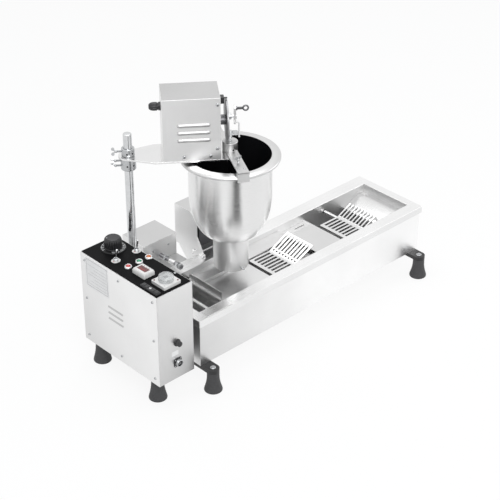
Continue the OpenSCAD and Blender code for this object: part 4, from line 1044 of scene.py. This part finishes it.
PIN_Z = CRANK_Z + CRANK_THROW
ROD_U, ROD_T, ROD_HALF = 288, 5, 8
rod = stand_in("connecting_rod", base=ARM)
low_end, high_end = PIN_Z - 24 + ROD_HALF, PIN_Z + 32 - ROD_HALF
outline = arc(-low_end, 0, ROD_HALF, -pi / 2, pi / 2, 12)
outline += arc(-high_end, 0, ROD_HALF, pi / 2, pi * 3 / 2, 12)
rod.add(prism(outline, ROD_U, ROD_U + ROD_T, 0.7), steel_z, TO_RIGHT)
rod.add(washer(5.1, 8, ROD_T, ROD_T + 1.6, 0.3), zinc, put(ROD_U, 0, PIN_Z, TO_RIGHT))
EYE_R, EYE_WIRE, EYE_OUT = 7, 2.4, 27
eye_u, eye_z = ROD_U + ROD_T, PIN_Z + 23
rod.add(hexagon(6.6, 0, 4), thread_dark, put(eye_u, 0, eye_z, TO_RIGHT))
rod.add(thread(4, 0, 20.5), thread_dark, put(eye_u, 0, eye_z, TO_RIGHT))
eye = lathe([(EYE_R + x, y) for x, y in circle(EYE_WIRE, 14)], 40, ring=True)
rod.add(eye, thread_dark, put(eye_u + EYE_OUT, 0, eye_z, TO_FRONT))
WIRE_U, WIRE_TOP, WIRE_LOW = 302, PIN_Z - 18, 648
wire = rounded([(ROD_U + 2, 0, WIRE_TOP), (WIRE_U, 0, WIRE_TOP), (WIRE_U, 0, WIRE_LOW + 0.5)], 5, 6)
rod.add(tube(wire, 2.5, 18), label_pale)
rod.done(50)

# Plunger: the piston with its groove, the rod and the crosshead with a nut

HUB_U = 277
here = put(HUB_U, 0, 0)
PISTON_R, PISTON_H, CROSS_END = 47.4, 22, 298.4
plunger, centre, low, high = measured("plunger", base=ARM)
cross_low, cross_top = high.z - 10, high.z - 4
piston = [(0, low.z), (47.2, low.z), (PISTON_R, low.z + 3), (46.6, low.z + 8), (PISTON_R, low.z + 12),
          (PISTON_R, low.z + 20), (45, low.z + PISTON_H), (0, low.z + PISTON_H)]
plunger.turned(piston, 0.8, 96, steel_bright, here)
profile = [(0, low.z + 20), (5, low.z + 20), (5, high.z - 1), (4, high.z), (0, high.z)]
plunger.turned(profile, 0.5, 36, chrome, here)
plunger.add(slab((HUB_U - 6, -9, cross_low), (CROSS_END, 9, cross_top), 1.0, 3), zinc)
plunger.add(hexagon(7.6, cross_top, high.z - 0.8), zinc, here)
plunger.done()

hub, centre, low, high = measured("guide_hub", base=ARM)
hub_r, h = (high.x - low.x) / 2, high.z - low.z
profile = [(5.1, 0), (hub_r - 0.6, 0), (hub_r, 0.8), (hub_r, h - 1.4), (hub_r - 1.6, h), (6.4, h),
           (5.1, h - 1)]
hub.turned(profile, 0.7, 84, steel_hub, put(HUB_U, 0, low.z), True)
hub.sockets(put(HUB_U, 0, low.z + 8), hub_r, (-70, 50, 170))
hub.done()

# Hopper: bowl, rolled lip, nozzle with its two clamp screws

RIM_Z, NECK_Z, NOZZLE_Z, LIP_R = 600, 348, 247, 140
BOWL_R, NECK_R, BOWL_ROUND, WALL = 116, 50, 130, 2


def bowl(w):
    """The hopper's half outline between its rim and its nozzle, pulled in by w."""
    points = [(BOWL_R - w, NECK_Z + BOWL_ROUND)]
    for i in range(1, 18):
        a = radians(5 * i)
        points.append((NECK_R + (BOWL_R - NECK_R - w) * cos(a),
                       NECK_Z + BOWL_ROUND - (BOWL_ROUND - w) * sin(a)))
    return points + [(NECK_R - w, NECK_Z + w)]


hopper = stand_in("hopper", base=ARM)
hopper.turned([(NECK_R, NOZZLE_Z), (NECK_R, NECK_Z)], 0, 144, steel_nozzle, here)
under_lip = [(BOWL_R, RIM_Z - 4), (LIP_R - 4, RIM_Z - 6.2), (LIP_R - 3.4, RIM_Z - 9.8)]
hopper.turned(bowl(0)[::-1] + under_lip, 0, 144, steel_hopper, here)
lip = [(LIP_R + out, RIM_Z - down) for out, down in (
    (-3.4, 9.8), (-2, 10.1), (-0.5, 9.4), (0, 8), (0, 5.4), (-0.9, 3.6), (-2.8, 2.6))]
lip += [(BOWL_R + out, RIM_Z - down) for out, down in ((12, 1.1), (1, 0.1), (-1.4, 0.2), (-WALL, 1))]
hopper.turned(lip, 0, 144, steel_lip, here)
inside = NECK_R - WALL
# The inside of the bowl and neck is near black: painted shade
inner_wall = [(BOWL_R - WALL, RIM_Z - 1)] + bowl(WALL) + [(inside, NECK_Z - 40)]
hopper.turned(inner_wall, 0, 144, shade_and_print_black, here)
mouth = [(inside, NECK_Z - 40), (inside, NOZZLE_Z), (NECK_R, NOZZLE_Z)]
hopper.turned(mouth, 0, 144, steel_hopper, here)
for yaw in (-62, 118):
    side = here @ around(yaw) @ put(NECK_R - 1, 0, NOZZLE_Z + 12, TO_RIGHT)
    hopper.wing(side @ around(40), 3, 7, 11)
hopper.done(50)

# Bars that hold the hopper: the front one meets the hub and has a wing screw

BAR_YAW, BAR_T, HOOK, FRONT_WIDTH, REAR_WIDTH, REAR_START = 9, 4, 14, 32, 24, 24
end, reach = -LIP_R - BAR_T, hub_r + 0.1
hold = stand_in("hopper_bars", base=ARM)
for yaw, width, top in ((BAR_YAW, FRONT_WIDTH, PLATE_TOP + BAR_T), (BAR_YAW + 180, REAR_WIDTH, PLATE_LOW)):
    turn = here @ around(yaw)
    half = width / 2
    if width == FRONT_WIDTH:
        edge = acos(half / reach)
        inner = arc(0, 0, reach, -edge, edge - pi, 10)
        hold.wing(turn @ put(0, -LIP_R * 0.62, top, around(30)), 3, 6, 12.5)
        for x in (-8, 8):
            rivet = [(0, 0), (3.4, 0), (3.0, 1.2), (1.6, 1.9), (0, 2.1)]
            hold.turned(rivet, 0.5, 24, zinc, turn @ put(x, -122, top - 0.1))
    else:
        inner = [(half, -REAR_START), (-half, -REAR_START)]
    # The bars' tops take the darker level steel: painted shade
    hold.add(prism([(-half, end), (half, end)] + inner, top - BAR_T, top, 0.7), steel_shaded_level, turn)
    hold.add(slab((-half, end, RIM_Z - HOOK), (half, end + BAR_T, top - 0.5), 0.9), steel_y, turn)
    seat = slab((-half, end + BAR_T, RIM_Z), (half, end + BAR_T + 16, top - BAR_T + 0.5), 0.6)
    hold.add(seat, zinc, turn)
hold.done()


# Stage, lights and camera

GLOW_SHARE = 0.88


def background_rays(tree):
    """1 for rays from the camera, off a glossy face or through glass."""
    path = tree.nodes.new("ShaderNodeLightPath")
    total = path.outputs["Is Camera Ray"]
    for name in ("Is Glossy Ray", "Is Transmission Ray"):
        node = tree.nodes.new("ShaderNodeMath")
        node.operation = "MAXIMUM"
        tree.links.new(total, node.inputs[0])
        tree.links.new(path.outputs[name], node.inputs[1])
        total = node.outputs[0]
    return total


def blended(tree, share, dull, bright, end):
    """Mixes two shaders into a material's or world's output by a share."""
    mix = tree.nodes.new("ShaderNodeMixShader")
    for source, target in zip((share, dull.outputs[0], bright.outputs[0]), mix.inputs):
        tree.links.new(source, target)
    tree.links.new(mix.outputs[0], tree.nodes[end].inputs["Surface"])


def stage_floor():
    """A pale floor that glows towards the camera and in reflections."""
    bpy.ops.mesh.primitive_plane_add(size=16, location=(0, 0, 0))
    floor = bpy.context.object
    floor.name = "floor"
    m = Material("floor_white", (0.9, 0.9, 0.9), 0.0, 0.9)
    m.feed("Base Color", m.ramp(m.noise(3, 2, 0.5), (0.3, 0.90), (0.7, 0.92)))
    glow = m.new("ShaderNodeEmission", Color=(1, 1, 1, 1), Strength=1.0)
    share = m.new("ShaderNodeMath", operation="MULTIPLY")
    share.inputs[1].default_value = GLOW_SHARE
    m.links.new(background_rays(m.mat.node_tree), share.inputs[0])
    blended(m.mat.node_tree, share.outputs[0], m.shader, glow, "Material Output")
    floor.data.materials.append(m.mat)


def area_lamp(name, where, aim, size, power):
    data = bpy.data.lights.new(name, "AREA")
    data.energy = power
    data.size = size
    lamp = linked(name, data)
    lamp.location = where
    lamp.rotation_mode = "QUATERNION"
    lamp.rotation_quaternion = (Vector(aim) - Vector(where)).to_track_quat("-Z", "Y")


def studio_world():
    """A soft grey sky that shows as white to the camera and in reflections."""
    world = bpy.data.worlds.new("studio")
    bpy.context.scene.world = world
    world.use_nodes = True
    tree = world.node_tree
    background = tree.nodes["Background"]
    white = tree.nodes.new("ShaderNodeBackground")
    socket(white, "Color", (1, 1, 1, 1))
    socket(white, "Strength", 1.0)
    socket(background, "Color", (0.96, 0.98, 1, 1))
    socket(background, "Strength", 0.5)
    blended(tree, background_rays(tree), background, white, "World Output")


def dark_card(name, azimuth, centre, width, spans, tone):
    """A dark studio cloth that only shows in polished metal. It runs from centre
    toward an azimuth, and spans are its (distance, height) points in metres."""
    a = radians(azimuth)
    out = Vector((-sin(a), -cos(a), 0))
    side = Vector((cos(a), -sin(a), 0)) * width / 2
    line = [centre + out * far + Vector((0, 0, up)) for far, up in spans]
    corners = [p + side * way for p in line for way in (-1, 1)]
    faces = [(k, k + 1, k + 3, k + 2) for k in range(0, len(corners) - 2, 2)]
    mesh = bpy.data.meshes.new(name)
    mesh.from_pydata(corners, [], faces)
    card = linked(name, mesh)
    mesh.materials.append(plastic(name + "_cloth", (tone, tone, tone), 0.9))
    for ray in ("camera", "shadow", "diffuse", "transmission"):
        setattr(card, "visible_" + ray, False)


CAMERA_AZIMUTH = 43.3
CAMERA_ELEVATION = 31.8
CAMERA_DISTANCE = 4798
CAMERA_TARGET = (744, 434, 0)
FOCAL_PIXELS = 1500
FRAME_PIXELS = 500
SENSOR_MM = 36
# Height of the dark cloths over the floor, in metres
CARD_Z = 0.004

stage_floor()
studio_world()
aim = (cad_low + cad_high) / 2
area_lamp("key", (-1.9, -2.6, 2.8), aim, 2.2, 62)
area_lamp("fill", (3.0, -1.6, 1.8), aim, 2.4, 26)
area_lamp("top", (0.2, 0.6, 3.2), aim, 2.6, 40)
dark_card("card_hopper", CAMERA_AZIMUTH - 16, ARM @ Vector((HUB_U, 0, 0)), 0.36,
          [(0.52, CARD_Z), (1.9, CARD_Z), (1.9, 1.5)], 0.01)
dark_card("card_post", CAMERA_AZIMUTH - 25, Vector((post_at.x, post_at.y, 0)), 0.16,
          [(0.50, CARD_Z), (1.05, CARD_Z)], 0.02)

camera_data = bpy.data.cameras.new("camera")
camera = linked("camera", camera_data)
camera_data.sensor_width = SENSOR_MM
camera_data.lens = SENSOR_MM * FOCAL_PIXELS / FRAME_PIXELS
turned, raised = radians(CAMERA_AZIMUTH), radians(CAMERA_ELEVATION)
look = Vector((sin(turned) * cos(raised), cos(turned) * cos(raised), -sin(raised)))
camera.location = SHOP @ Vector(CAMERA_TARGET) - look * CAMERA_DISTANCE * MM
camera.rotation_mode = "QUATERNION"
camera.rotation_quaternion = look.to_track_quat("-Z", "Y")
scene = bpy.context.scene
scene.camera = camera
scene.view_settings.view_transform = "Standard"
